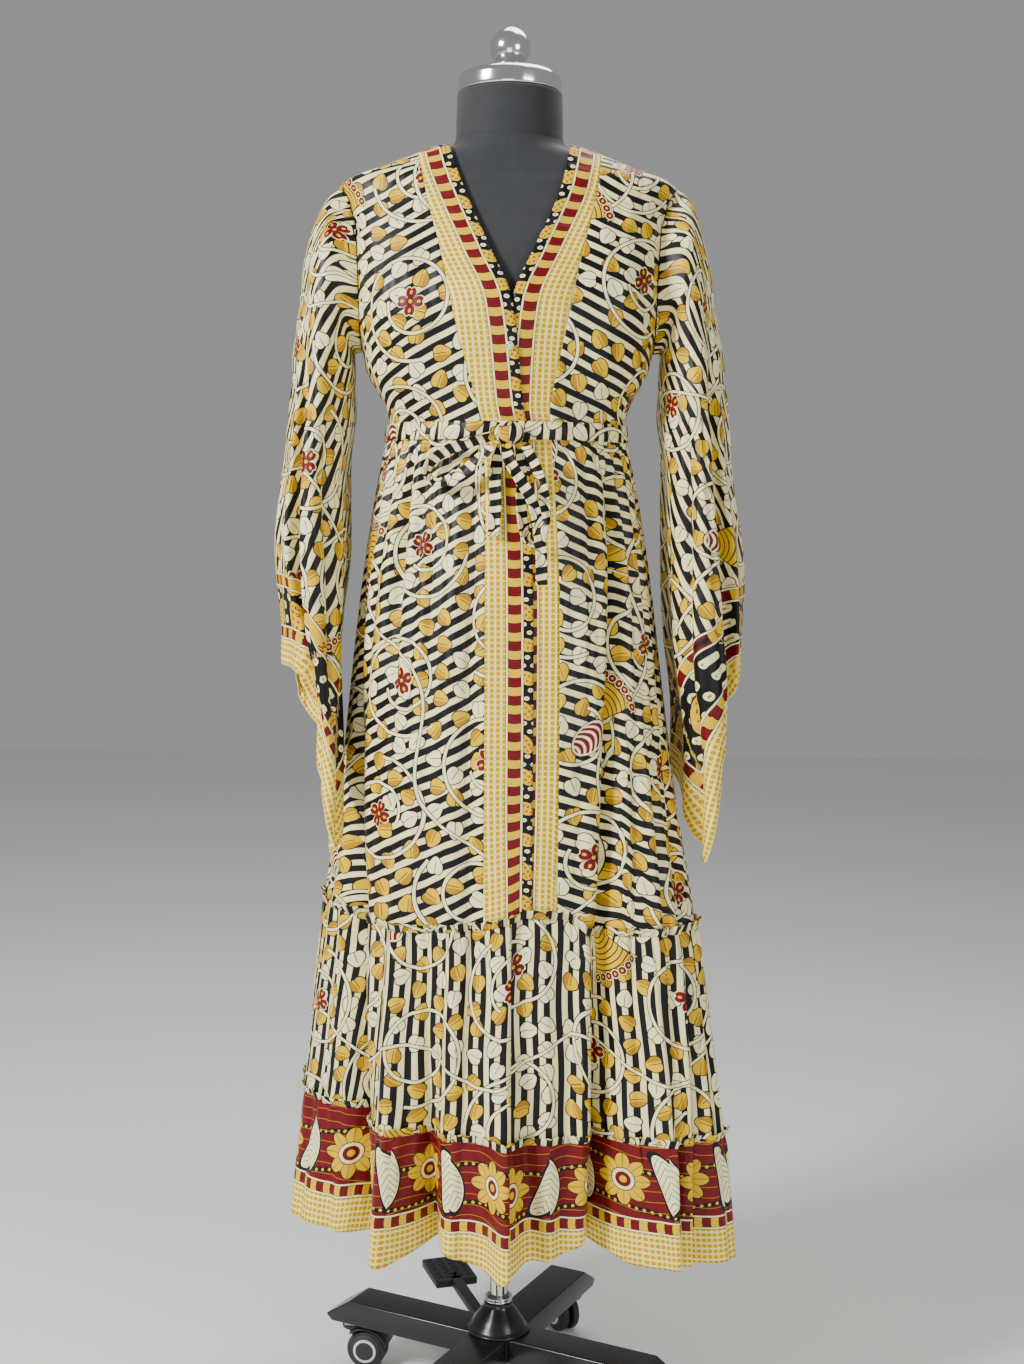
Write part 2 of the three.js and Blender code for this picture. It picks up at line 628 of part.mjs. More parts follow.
function sleeveGeometry(side, sign) {
  const rings = SLEEVE_RINGS[side].map((row) => sleeveRing(row, sign));
  const elbow = rings[SLEEVE_FREE_RINGS - 1];
  const hemHeights = columnTurns.map((turn) => readTable(SLEEVE_HEM[side], wrapped(turn)).height);
  const lower = rings.slice(SLEEVE_FREE_RINGS);
  const slanted = [0, 1, 2, 2].map((ring, k) => lower[ring].map((corner, j) => (
    point(corner.x, corner.y, mix(elbow[j].z, hemHeights[j], (k + 1) / 4))
  )));
  let rows = [sleeveHead(sign), ...rings.slice(0, SLEEVE_FREE_RINGS), ...slanted];
  if (sign > 0) rows = rows.map((row) => [row[0], ...row.slice(1).reverse()]);
  return wall(rows, insideOf(rows, CLOTH), true);
}
add(model, 'sleeve_left', sleeveGeometry('left', -1), SATIN);
add(model, 'sleeve_right', sleeveGeometry('right', 1), SATIN);

// ---------------------------------------------------------------- belt, bow and press stud
const BELT = { top: 1177, bottom: 1157, clear: 0.8, thickness: 1.6, columns: 48 };
const beltFace = (out) => [BELT.top, BELT.bottom].map((height) => (
  Array.from({ length: BELT.columns }, (_, j) => {
    const angle = (j / BELT.columns) * 360;
    const above = height > WAIST_SEAM;
    const base = above ? onBodice(angle, height) : onSkirt(angle, height);
    const clear = out + BELT.clear * (above ? 2 : 1);
    return point(base.x + Math.sin(angle * RAD) * clear, base.y - Math.cos(angle * RAD) * clear, height);
  })
));
add(model, 'belt', wall(beltFace(BELT.thickness), beltFace(0), true), SATIN);

// How far in front of the pole the skirt's own curve lies, straight ahead of a point.
function skirtFront(across, height) {
  const ring = readTable(SKIRT, height);
  return ring.front * Math.sqrt(1 - (across / ring.half) ** 2);
}

// Each ribbon of the bow follows points across, up and off the skirt; "flat" turns it from edge-on
// (zero) to lying flat against the skirt (one).
const RIBBON_WIDTH = 13;
const RIBBONS = {
  belt_loop_left: [
    [-13.9, 1161, 16, 0.5], [-34, 1155, 16, 0.6], [-62, 1146, 16, 0.7], [-82, 1133, 17, 0.6],
    [-88, 1118, 18, 0.4], [-74, 1108, 20, 0.5], [-50, 1118, 22, 0.7], [-28, 1136, 24, 0.6],
    [-15, 1148, 24, 0.5],
  ],
  belt_loop_right: [
    [12, 1151.8, 15, 0.5], [17, 1120, 14, 0.6], [17, 1085, 14, 0.7], [21, 1052, 14, 0.5], [31, 1041, 15, 0.3],
    [42, 1052, 17, 0.5], [43, 1090, 19, 0.7], [34, 1125, 22, 0.6], [21, 1151, 24, 0.5],
  ],
  belt_end_left: [
    [-5, 1150.4, 11.5, 0.7], [-10, 1132, 9, 0.9], [-12, 1110, 8, 1], [-11, 1085, 8, 1], [-13, 1050, 7.5, 1],
  ],
  belt_end_right: [
    [-0.5, 1150.9, 17, 0.9], [4, 1132, 26.5, 0.9], [30, 1085, 29, 0.7], [39, 1035, 26, 0.8], [40, 998, 17, 0.9],
  ],
};
function ribbonGeometry(table) {
  const path = new THREE.CatmullRomCurve3(table.map(([across, height, off]) => (
    point(across, -skirtFront(across, height) - off, height)
  )));
  const count = (table.length - 1) * 2;
  const faces = [[], []];
  steps(count).forEach((share) => {
    const place = share * (table.length - 1);
    const start = Math.min(Math.floor(place), table.length - 2);
    const flat = mix(table[start][3], table[start + 1][3], place - start);
    const centre = path.getPoint(share);
    const tangent = path.getTangent(share);
    const sideways = tangent.clone().cross(point(0, -1, 0)).normalize();
    const edge = sideways.multiplyScalar(flat).add(point(0, -1, 0).multiplyScalar(1 - flat));
    edge.addScaledVector(tangent, -edge.dot(tangent)).normalize();
    const normal = tangent.clone().cross(edge).normalize();
    [CLOTH / 2, -CLOTH / 2].forEach((out, face) => faces[face].push([-1, 1].map((side) => (
      centre.clone().addScaledVector(edge, (side * RIBBON_WIDTH) / 2).addScaledVector(normal, out)
    ))));
  });
  return wall(faces[0], faces[1]);
}
for (const [name, table] of Object.entries(RIBBONS)) add(model, name, ribbonGeometry(table), SATIN);

const KNOT = { width: 17, deep: 9, height: 14, across: 3, at: 1163 };
const knot = add(model, 'belt_knot', new THREE.SphereGeometry(1, 12, 8), SATIN);
knot.scale.set(KNOT.width, KNOT.deep, KNOT.height);
const knotSeat = Math.max(...beltFace(BELT.thickness)[0].map((corner) => -corner.y));
knot.position.set(KNOT.across, -knotSeat - SEAM_GAP - KNOT.deep, KNOT.at);

const SNAP = { radius: 4.5, height: 2, across: 3, at: 1262 };
const snapAngle = Math.asin(SNAP.across / onBodice(90, SNAP.at).x) / RAD;
const stud = new THREE.CylinderGeometry(SNAP.radius, SNAP.radius, SNAP.height, 12);
const snap = add(model, 'snap', stud, CHROME);
const snapSeat = onBodice(snapAngle, SNAP.at, 0);
const snapCentre = onBodice(snapAngle, SNAP.at, SEAM_GAP + 0.3 + SNAP.height / 2);
snap.position.copy(snapCentre);
snap.quaternion.setFromUnitVectors(point(0, 1, 0), snapCentre.clone().sub(snapSeat).normalize());

// ---------------------------------------------------------------- neck cap and pole
// A turned piece: its outline runs from the axis round to the axis, or closes on itself.
function turned(outline, sides) {
  const profile = outline.map(([radius, height]) => new THREE.Vector2(radius, height));
  return new THREE.LatheGeometry(profile, sides).rotateX(Math.PI / 2);
}
const arc = (radius, height, from, to, count) => steps(count).map((share) => {
  const angle = mix(from, to, share) * RAD;
  return [radius * Math.cos(angle), height + radius * Math.sin(angle)];
});

const capBottom = NECK_TOP + SEAM_GAP;
const capTop = capBottom + CAP_HEIGHT + 12;
const BALL_SEAT = 14;
add(model, 'neck_cap', turned([
  [0, capBottom], [CAP_RADIUS, capBottom], [CAP_RADIUS, capBottom + CAP_HEIGHT - 3],
  [CAP_RADIUS - 4, capBottom + CAP_HEIGHT + 2], [38, capTop - 4], [BALL_SEAT + 2, capTop], [0, capTop],
], 24), CHROME);
const ballCut = -Math.acos(BALL_SEAT / BALL_RADIUS) / RAD;
const ballCentre = capTop + SEAM_GAP + Math.sqrt(BALL_RADIUS ** 2 - BALL_SEAT ** 2);
add(model, 'cap_ball', turned([
  [0, capTop + SEAM_GAP], ...arc(BALL_RADIUS, ballCentre, ballCut, 80, 7), [0, ballCentre + BALL_RADIUS],
], 16), CHROME);

const plateBottom = FORM_BOTTOM - SEAM_GAP - PLATE.height;
add(model, 'form_plate', turned([
  [0, plateBottom], [PLATE.radius, plateBottom],
  [PLATE.radius, FORM_BOTTOM - SEAM_GAP], [0, FORM_BOTTOM - SEAM_GAP],
], 20), BLACK_PAINT);
const tubeTop = plateBottom - SEAM_GAP;
add(model, 'pole_tube', turned([
  [TUBE_BORE, TUBE_BOTTOM], [TUBE_RADIUS + 1, TUBE_BOTTOM], [TUBE_RADIUS + 1, TUBE_BOTTOM + 4],
  [TUBE_RADIUS, TUBE_BOTTOM + 4], [TUBE_RADIUS, tubeTop], [TUBE_BORE, tubeTop], [TUBE_BORE, TUBE_BOTTOM],
], 20), CHROME);
add(model, 'pole_rod', turned([
  [0, HUB_TOP + SEAM_GAP], [ROD_RADIUS, HUB_TOP + SEAM_GAP], [ROD_RADIUS, ROD_TOP], [0, ROD_TOP],
], 20), CHROME);
[1, 2].forEach((number) => {
  const wire = new THREE.TorusGeometry(RING.radius, RING.wire, 5, 16);
  const ring = add(model, `pole_ring_${number}`, wire, CHROME);
  ring.position.z = HUB_TOP + (SEAM_GAP + RING.wire) * number + RING.wire * (number - 1);
});

// ---------------------------------------------------------------- base
const bell = turned([
  [0, LEG.top - 2], [LEG.width / 2 - 4, LEG.top - 2], [LEG.width / 2 - 4, LEG.top + SEAM_GAP],
  [HUB_RADIUS, LEG.top + SEAM_GAP], [HUB_RADIUS - 3, 97], [29, 107], [21, 118],
  [RING.radius + 2.5, HUB_TOP - 4], [RING.radius + 2, HUB_TOP], [0, HUB_TOP],
], 20);
const block = new THREE.BoxGeometry(LEG.width, LEG.width, LEG.top - LEG.bottom)
  .translate(0, 0, (LEG.top + LEG.bottom) / 2).rotateZ(LEG.angles[0] * RAD);
add(model, 'hub', joined([bell, block]), BLACK_PAINT);

// A flat outline in the upright plane through the axis, given thickness across it.
function upright(outline, thickness, hole) {
  const shape = new THREE.Shape(outline.map(([reach, height]) => new THREE.Vector2(reach, height)));
  if (hole) shape.holes.push(hole);
  const settings = { depth: thickness, bevelEnabled: false, curveSegments: 4 };
  const geometry = new THREE.ExtrudeGeometry(shape, settings);
  return geometry.translate(0, 0, -thickness / 2).rotateX(Math.PI / 2);
}

LEG.angles.forEach((angle, index) => {
  const arm = new THREE.Group();
  arm.rotation.z = angle * RAD;
  model.add(arm);
  add(arm, `leg_${index + 1}`, upright([
    [LEG.width / 2 + SEAM_GAP, LEG.bottom], [LEG.reach - 8, LEG.bottom], [LEG.reach, LEG.bottom + 8],
    [LEG.reach - LEG.slope, LEG.top], [LEG.width / 2 + SEAM_GAP, LEG.top],
  ], LEG.width), BLACK_PAINT);

  const caster = new THREE.Group();
  caster.position.set(CASTER.stemAt, 0, 0);
  caster.rotation.z = (CASTER.trailsTo[index] - angle) * RAD;
  arm.add(caster);
  const axleHeight = CASTER.wheelRadius * Math.cos(Math.PI / CASTER.sides);
  const axle = new THREE.Path().absarc(CASTER.trail, axleHeight, CASTER.axle + 0.4, 0, Math.PI * 2);
  const cheek = upright([
    [-9, 48], [4, 30], [CASTER.trail - 9, axleHeight - 4], [CASTER.trail, axleHeight - 9],
    [CASTER.trail + 9, axleHeight - 4], [CASTER.trail + 14, axleHeight + 14], [CASTER.trail, 52], [-9, 52],
  ], CASTER.web, axle);
  const guard = CASTER.wheelRadius + 2;
  const hood = upright([
    ...arc(guard + 3, axleHeight, 20, 128, 4), ...arc(guard + 0.6, axleHeight, 128, 20, 4),
  ].map(([reach, height]) => [reach + CASTER.trail, height]), CASTER.wheelWidth * 2 + CASTER.web + 3);
  const head = turned([[0, 50], [15, 50], [15, LEG.bottom - SEAM_GAP], [0, LEG.bottom - SEAM_GAP]], 12);
  add(caster, `caster_fork_${index + 1}`, joined([cheek, hood, head]), BLACK_RUBBER);

  const rim = CASTER.gap + CASTER.wheelWidth;
  const side = [
    [CASTER.axle, CASTER.gap], [CASTER.wheelRadius, CASTER.gap],
    [CASTER.wheelRadius, rim - 6], [14, rim], [0, rim],
  ];
  const outline = [...side.map(([radius, out]) => [radius, -out]).reverse(), ...side];
  const wheels = add(caster, `caster_wheel_${index + 1}`, turned(outline, CASTER.sides), BLACK_RUBBER);
  // turned about the axle, with one flat of the tread on the floor
  wheels.rotation.order = 'ZXY';
  wheels.rotation.x = Math.PI / 2;
  wheels.geometry.rotateZ(Math.PI / CASTER.sides);
  wheels.position.set(CASTER.trail, 0, axleHeight);
});

const pedalArm = new THREE.Group();
pedalArm.rotation.z = PEDAL.angle * RAD;
model.add(pedalArm);
const padStart = PEDAL.reach - PEDAL.padLength / 2;
const BAR_WIDTH = 14;
// the bar's tip sits in the corner between two legs
const barTip = (LEG.width / 2 + SEAM_GAP) * Math.SQRT2 + BAR_WIDTH / 2;
const bar = upright([
  [barTip, PEDAL.height], [barTip + 5, PEDAL.height - 5], [padStart + 20, PEDAL.height - 5],
  [padStart + 20, PEDAL.height + 5], [barTip + 5, PEDAL.height + 5],
], BAR_WIDTH);
const pad = new THREE.BoxGeometry(PEDAL.padLength, PEDAL.padWidth, 12)
  .translate(PEDAL.reach, 0, PEDAL.height);
add(pedalArm, 'pedal', joined([bar, pad]), BLACK_RUBBER);

// The origin is the middle of the whole model's footprint, on the floor.
const extent = new THREE.Box3().setFromObject(model, true);
const middle = extent.getCenter(point(0, 0, 0));
model.position.set(-middle.x, -middle.y, -extent.min.z);

export default model;
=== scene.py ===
# A printed satin wrap robe on a dress form with a wheeled base: the look of every piece.
# Lengths are in metres; tables of the garment and its stand are in millimetres.
import math

import bmesh
import bpy
import numpy as np
from mathutils import Matrix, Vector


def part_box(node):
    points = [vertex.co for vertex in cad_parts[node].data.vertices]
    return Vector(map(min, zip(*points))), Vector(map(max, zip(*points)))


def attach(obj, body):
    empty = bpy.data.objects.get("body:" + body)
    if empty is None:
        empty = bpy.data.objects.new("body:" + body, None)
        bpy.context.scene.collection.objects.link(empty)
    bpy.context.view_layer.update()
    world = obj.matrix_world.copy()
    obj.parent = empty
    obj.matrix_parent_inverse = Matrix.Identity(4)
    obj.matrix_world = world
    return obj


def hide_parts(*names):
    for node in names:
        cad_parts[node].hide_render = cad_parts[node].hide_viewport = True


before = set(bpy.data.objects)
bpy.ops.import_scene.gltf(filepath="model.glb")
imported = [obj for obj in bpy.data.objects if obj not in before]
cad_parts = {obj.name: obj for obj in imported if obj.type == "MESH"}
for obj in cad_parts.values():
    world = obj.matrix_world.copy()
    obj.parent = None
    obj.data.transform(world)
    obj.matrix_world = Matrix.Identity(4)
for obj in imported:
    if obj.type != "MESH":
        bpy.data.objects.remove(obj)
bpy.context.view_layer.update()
tube_low, tube_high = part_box("pole_tube")
POLE = (tube_low + tube_high) / 2  # the pole's axis: x and y
MM = 0.001

# ---------------------------------------------------------------- camera, light and floor
# A camera a little above the waist, and four soft boxes in a pale room.
camera_data = bpy.data.cameras.new("camera")
camera_data.lens = 47.4
camera_data.sensor_width = 36
camera = bpy.data.objects.new("camera", camera_data)
camera.matrix_world = (
    Matrix.Translation((POLE.x + 0.009, POLE.y - 2.1, 1.07))
    @ Matrix.Rotation(math.radians(84.8), 4, "X")
    @ Matrix.Rotation(math.radians(0.57), 4, "Z")
)
bpy.context.collection.objects.link(camera)
bpy.context.scene.camera = camera

for name, place, aim, power, size in (
    ("key", (-2.3, -1.7, 2.4), (0, 0, 0.9), 150, 0.7),
    ("fill", (1.9, -2.2, 1.5), (0, 0, 0.8), 26, 1.0),
    ("top", (0.4, 0.7, 3.0), (0, 0, 1.0), 34, 1.4),
    ("low", (-0.2, -2.6, 0.5), (0, 0, 0.4), 9, 1.2),
):
    lamp_data = bpy.data.lights.new(name, "AREA")
    lamp_data.energy = power
    lamp_data.size = size
    lamp = bpy.data.objects.new(name, lamp_data)
    direction = np.subtract(place, aim)
    yaw = math.atan2(direction[0], -direction[1])
    pitch = math.atan2(math.hypot(direction[0], direction[1]), direction[2])
    lamp.location = (place[0] + POLE.x, place[1] + POLE.y, place[2])
    lamp.rotation_euler = (pitch, 0, yaw)
    bpy.context.collection.objects.link(lamp)

world = bpy.data.worlds.new("room")
world.use_nodes = True
world.node_tree.nodes["Background"].inputs["Color"].default_value = (0.9, 0.9, 0.9, 1)
world.node_tree.nodes["Background"].inputs["Strength"].default_value = 0.34
bpy.context.scene.world = world


def new_material(name):
    """A material with its node tree and its shader."""
    material = bpy.data.materials.new(name)
    material.use_nodes = True
    return material, material.node_tree, material.node_tree.nodes["Principled BSDF"]


floor_material, _, floor_shader = new_material("pale_floor")
floor_shader.inputs["Base Color"].default_value = (0.78, 0.78, 0.77, 1)
floor_shader.inputs["Roughness"].default_value = 0.6
floor_mesh = bpy.data.meshes.new("floor")
floor_mesh.from_pydata([(-6, -6, 0), (6, -6, 0), (6, 6, 0), (-6, 6, 0)], [], [(0, 1, 2, 3)])
floor_mesh.materials.append(floor_material)
floor = bpy.data.objects.new("floor", floor_mesh)
bpy.context.collection.objects.link(floor)

# ---------------------------------------------------------------- printed satin
# The robe is sewn from one satin, block-printed with black stripes, scrolling vines with leaves,
# four-petal flowers and fans, and from its printed border strips. Print sizes are in millimetres.
CREAM = (0.95, 0.85, 0.42)
PALE = (0.96, 0.88, 0.48)
INK = (0.002, 0.002, 0.003)
GOLD = (0.45, 0.23, 0.0)
BRIGHT = (0.76, 0.46, 0.0)
MAROON = (0.14, 0.0, 0.004)
LEMON = (0.93, 0.71, 0.06)
STRIPE_STEP, STRIPE_HALF = 14.2, 3.8
LEAF_RADIUS, LEAF_CELL, LEAF_ROOM = 9.0, (29.0, 27.5), (21, 20)
SCROLL_CELL, FAN_CELL = (150.0, 128.0), (330.0, 290.0)
VINE_TONES = ((2.7, INK), (1.7, PALE))  # its outline and its face, with their half widths
FLOWER_RADIUS, BUD_RADIUS, FAN_RADIUS = 16.0, 15, 66
DOT_STEP, DOT_ROW = 6.2, 7.0


def fill(node, slots):
    """Fill a node's slots: each takes a colour, a number or what another node gives."""
    for label, item in slots.items():
        if isinstance(item, tuple):
            node.inputs[label].default_value = (*item, 1)
        elif isinstance(item, (int, float)):
            node.inputs[label].default_value = item
        else:
            node.id_data.links.new(getattr(item, "source", item), node.inputs[label])


def add_node(tree, kind, slots):
    node = tree.nodes.new(f"ShaderNode{kind}")
    fill(node, slots)
    return node


class Value:
    """A number in a material's node tree, with the usual arithmetic."""

    def __init__(self, tree, source):
        self.tree, self.source = tree, source

    def run(self, operation, *others, clamp=False):
        node = self.tree.nodes.new("ShaderNodeMath")
        node.operation, node.use_clamp = operation, clamp
        fill(node, dict(enumerate((self, *others))))
        return Value(self.tree, node.outputs[0])

    def __add__(self, other):
        return self.run("ADD", other)

    def __sub__(self, other):
        return self.run("SUBTRACT", other)

    def __mul__(self, other):
        return self.run("MULTIPLY", other)

    def __truediv__(self, other):
        return self.run("DIVIDE", other)

    def __mod__(self, other):
        return self.run("FLOORED_MODULO", other)

    def abs(self):
        return self.run("ABSOLUTE")

    def floor(self):
        return self.run("FLOOR")

    def sin(self):
        return self.run("SINE")

    def cos(self):
        return self.run("COSINE")

    def below(self, other):
        return self.run("LESS_THAN", other)

    def above(self, other):
        return self.run("GREATER_THAN", other)

    def power(self, other):
        return self.run("POWER", other)

    def least(self, other):
        return self.run("MINIMUM", other)

    def most(self, other):
        return self.run("MAXIMUM", other)

    def chance(self, seed):
        """A number from 0 to 1 that looks random, the same for the same value."""
        return ((self + seed).sin() * 4375.85) % 1.0

    def soft_edge(self, width=0.35):
        """One where the value is below zero, with an edge that wide."""
        return (self * (-1 / width) + 0.5).run("ADD", 0, clamp=True)


def length_of(a, b):
    return (a * a + b * b).run("SQRT")


def angle_of(a, b):
    return b.run("ARCTAN2", a)


def turned(a, b, angle):
    return a * angle.cos() + b * angle.sin(), b * angle.cos() - a * angle.sin()


def lay(tree, below, mask, colour):
    """The colour below, with another one laid on it where the mask is one."""
    node = tree.nodes.new("ShaderNodeMix")
    node.data_type = "RGBA"
    fill(node, {"Factor": mask, 6: below, 7: colour})
    return node.outputs[2]


def lay_tones(tree, colour, distance, tones, shown=None):
    """Tones laid one on another, each over what lies nearer than its reach."""
    for reach, tone in tones:
        mask = (distance - reach).soft_edge()
        colour = lay(tree, colour, mask if shown is None else mask * shown, tone)
    return colour


def node_group(name, inputs):
    """An empty group with number inputs and one colour output; returns it with its input values."""
    tree = bpy.data.node_groups.new(name, "ShaderNodeTree")
    for label in inputs:
        tree.interface.new_socket(label, in_out="INPUT", socket_type="NodeSocketFloat")
    tree.interface.new_socket("Color", in_out="OUTPUT", socket_type="NodeSocketColor")
    entry = tree.nodes.new("NodeGroupInput")
    return tree, [Value(tree, socket) for socket in entry.outputs[: len(inputs)]]


def close_group(tree, colour):
    fill(tree.nodes.new("NodeGroupOutput"), {0: colour})
    return tree


def staggered(u, v, cell, marks, stagger=0.5, lift=0.0, aside=0.0, sway=0.0):
    """Cells in staggered rows: a place seen from its cell's middle, and a number for the cell."""
    wide, high = cell
    row = (v / high + lift).floor()
    moved = u + row * (wide * stagger) + (row * 0.7).sin() * sway + aside
    column = (moved / wide).floor()
    x, y = moved - (column + 0.5) * wide, v - (row + (0.5 - lift)) * high
    return x, y, row * marks[0] + column * marks[1]


def leaf(tree, colour, a, b, shown, golden):
    """A round leaf with a pointed tip along a, outlined, with its midrib."""
    reach, round_it = length_of(a, b), angle_of(a, b)
    tip = round_it.cos().most(0).power(8) * 3.2
    notch = (round_it.cos() * -1).most(0).power(10) * 2.2
    edge = reach - (tip - notch + LEAF_RADIUS)
    face = lay(tree, PALE, golden, lay(tree, GOLD, b.above(-2.5), BRIGHT))
    colour = lay_tones(tree, colour, edge, ((1.2, INK), (0, face)), shown)
    rib = b.abs().below(0.42) * a.below(7) * a.above(-7)
    return lay(tree, colour, rib * shown, INK)


def scattered_leaves(tree, colour, u, v, seed, share):
    """Leaves in staggered rows, each moved and turned its own way, about half of them gold."""
    x, y, identity = staggered(u, v, LEAF_CELL, (1.37, 2.11), sway=3)
    x = x - (identity.chance(seed) - 0.5) * (LEAF_CELL[0] - LEAF_ROOM[0])
    y = y - (identity.chance(seed * 2.3) - 0.5) * (LEAF_CELL[1] - LEAF_ROOM[1])
    a, b = turned(x, y, identity.chance(seed * 3.7) * math.tau)
    golden = identity.chance(seed * 5.1).below(0.54)
    return leaf(tree, colour, a, b, identity.chance(seed * 7.9).below(share), golden)


def flower(tree, colour, across, up, size, shown):
    """Four notched maroon petals, each with a gold heart, round a gold eye."""
    reach, round_it = length_of(across, up), angle_of(across, up)
    lobe = (round_it * 2).cos().abs()
    petal = (lobe.power(0.38) - lobe.power(30) * 0.14) * size
    colour = lay_tones(tree, colour, reach - petal, ((1.2, PALE), (0, MAROON)), shown)
    quarter = ((round_it / math.tau * 4 + 0.5) % 1.0 - 0.5) * (math.tau / 4)
    heart = length_of((reach - size * 0.62) * 0.7, quarter * reach)
    colour = lay_tones(tree, colour, heart, ((size * 0.1, BRIGHT),), shown)
    return lay_tones(tree, colour, reach, ((size * 0.2, INK), (size * 0.14, BRIGHT)), shown)


def main_print():
    tree, (u, v) = node_group("vine_print", ["U", "V"])
    wobble = (u * 0.041 + (v * 0.023).sin()).sin() * 1.3 + (u * 0.013).sin() * 1.6
    bars = ((v + wobble) % STRIPE_STEP - STRIPE_STEP / 2).abs() - STRIPE_HALF
    colour = lay(tree, CREAM, bars.soft_edge(0.5), INK)
    colour = scattered_leaves(tree, colour, u, v, 0.37, 0.88)

    # open scrolls of vine in staggered cells, each turned its own way
    x, y, identity = staggered(u, v, SCROLL_CELL, (7.13, 3.37), 0.43)
    x = x * (identity.chance(1.7).above(0.5) * 2 - 1)
    x, y = turned(x, y, identity.chance(0.3) * math.tau)
    reach, round_it = length_of(x, y), angle_of(x, y)
    share = (round_it / math.tau) % 1.0
    arm = share * 30 + 26
    line = (reach - arm).abs().least((reach - arm - 30).abs() + share.above(0.3) * 50)
    colour = lay_tones(tree, colour, line, VINE_TONES)

    # stems that wander along the cloth, then the flowers
    stem = ((u + (v * 0.0262).sin() * 26) % 205.0 - 102.0).abs()
    colour = lay_tones(tree, colour, stem, VINE_TONES)
    colour = flower(tree, colour, x, y, FLOWER_RADIUS, identity.chance(2.9).below(0.62))

    # fans: a gold blade with curved ribs and a beaded edge, and a striped bud at its foot
    x, y, identity = staggered(u, v, FAN_CELL, (5.31, 2.17), lift=0.37, aside=61)
    x, y = turned(x, y, (identity.chance(0.9) - 0.5) * 2.4 + math.pi / 2)
    reach, round_it = length_of(x, y), angle_of(x, y)
    blade_ends = ((reach - FAN_RADIUS) * 0.02).most((reach * -1 + 15) * 0.02)
    blade = (round_it.abs() - 0.42).most(blade_ends) * 40
    colour = lay_tones(tree, colour, blade, ((1.2, INK), (0, BRIGHT)))
    ribs = ((reach + round_it * round_it * 24) % 6.2 - 3.1).abs() - 0.7
    colour = lay(tree, colour, ribs.soft_edge() * blade.soft_edge(), INK)
    bead_a, bead_b = turned(x, y, (round_it * 7.4 + 0.5).floor() / 7.4)
    bead = length_of(bead_a - (FAN_RADIUS + 5), bead_b)
    bead_tones = ((6.0, INK), (5.3, PALE), (4.3, MAROON), (1.6, BRIGHT))
    colour = lay_tones(tree, colour, bead, bead_tones, round_it.abs().below(0.5))
    bud = length_of((x + 14) * 0.62, y) - BUD_RADIUS
    colour = lay_tones(tree, colour, bud, ((0.9, INK), (0, PALE)))
    stripes = ((x * 0.8 + y * y * 0.05) % 6.4 - 3.2).abs() - 1.9
    colour = lay(tree, colour, stripes.soft_edge() * (bud + 1.5).soft_edge(), MAROON)
    return close_group(tree, colour)


def dotted_strip(tree, along, across):
    """Pale yellow with rows of gold dots and fine lines between the rows."""
    a = along % DOT_STEP - DOT_STEP / 2
    b = across % DOT_ROW - DOT_ROW / 2
    colour = lay(tree, PALE, (b.abs() - 2.9).soft_edge(0.8), LEMON)
    dot = length_of(a, b)
    colour = lay(tree, colour, (dot - 2.1).soft_edge(0.6), GOLD)
    return lay(tree, colour, (dot - 0.8).soft_edge(0.5), BRIGHT)


def between(value, low, high, soft=0.3):
    return ((value - high).soft_edge(soft)) * ((value * -1 + low).soft_edge(soft))


def ladder(tree, colour, along, across, low, high, step=10.0):
    """A row of maroon and gold blocks between cream lines, from low to high across."""
    for more, tone in ((2.6, INK), (2.0, PALE), (0, INK)):
        colour = lay(tree, colour, between(across, low - more, high + more), tone)
    bulge = (across - low) * (across * -1 + high) * 0.018
    place = (along + bulge) % (step * 2)
    blocks = between(across, low + 0.5, high - 0.5)
    for start, tone in ((0, MAROON), (step, BRIGHT)):
        block = between(place, start + 0.4, start + step - 0.4)
        colour = lay(tree, colour, block * blocks, tone)
    return colour


def dark_border(tree, along, across):
    """Black with gold paisleys, small cream rounds and red dots."""
    wide, high = 58.0, 44.0
    turn = (along / wide).floor().chance(0.6) * 1.2 + 0.5
    a, b = turned(along % wide - wide / 2, across % high - high / 2, turn)
    round_a = along % 14.5 - 7.25
    round_b = (across + (along / 14.5).floor() * 7) % 17.0 - 8.5
    small = length_of(round_a, round_b * 0.75)
    colour = lay_tones(tree, INK, small, ((3.6, PALE), (1.2, GOLD)))
    drop = length_of(a * 0.62 + b * b * 0.008, b) - 11.5
    colour = lay_tones(tree, colour, drop, ((1.4, INK), (0, BRIGHT)))
    dot = length_of(a % 8.4 - 4.2, b % 8.4 - 4.2)
    return lay_tones(tree, colour, dot, ((2.3, MAROON), (0.9, BRIGHT)), (drop + 2.2).soft_edge())


def edge_border():
    """Along the front bands, from the free edge inwards."""
    tree, (along, across) = node_group("front_border", ["Along", "Across"])
    colour = dotted_strip(tree, along, across)
    colour = lay(tree, colour, across.below(11), dark_border(tree, along * 1.6, across * 1.6 + 9))
    colour = ladder(tree, colour, along, across, 13, 28)
    return close_group(tree, colour)


def cuff_border():
    """Along a sleeve's hem: dots, blocks, a dark border and blocks again."""
    tree, (along, across) = node_group("cuff_border", ["Along", "Across"])
    colour = dotted_strip(tree, along, across)
    colour = lay(tree, colour, across.above(40), dark_border(tree, along, across + 4))
    for low, high in ((33, 45), (95, 107)):
        colour = ladder(tree, colour, along, across, low, high)
    return close_group(tree, colour)


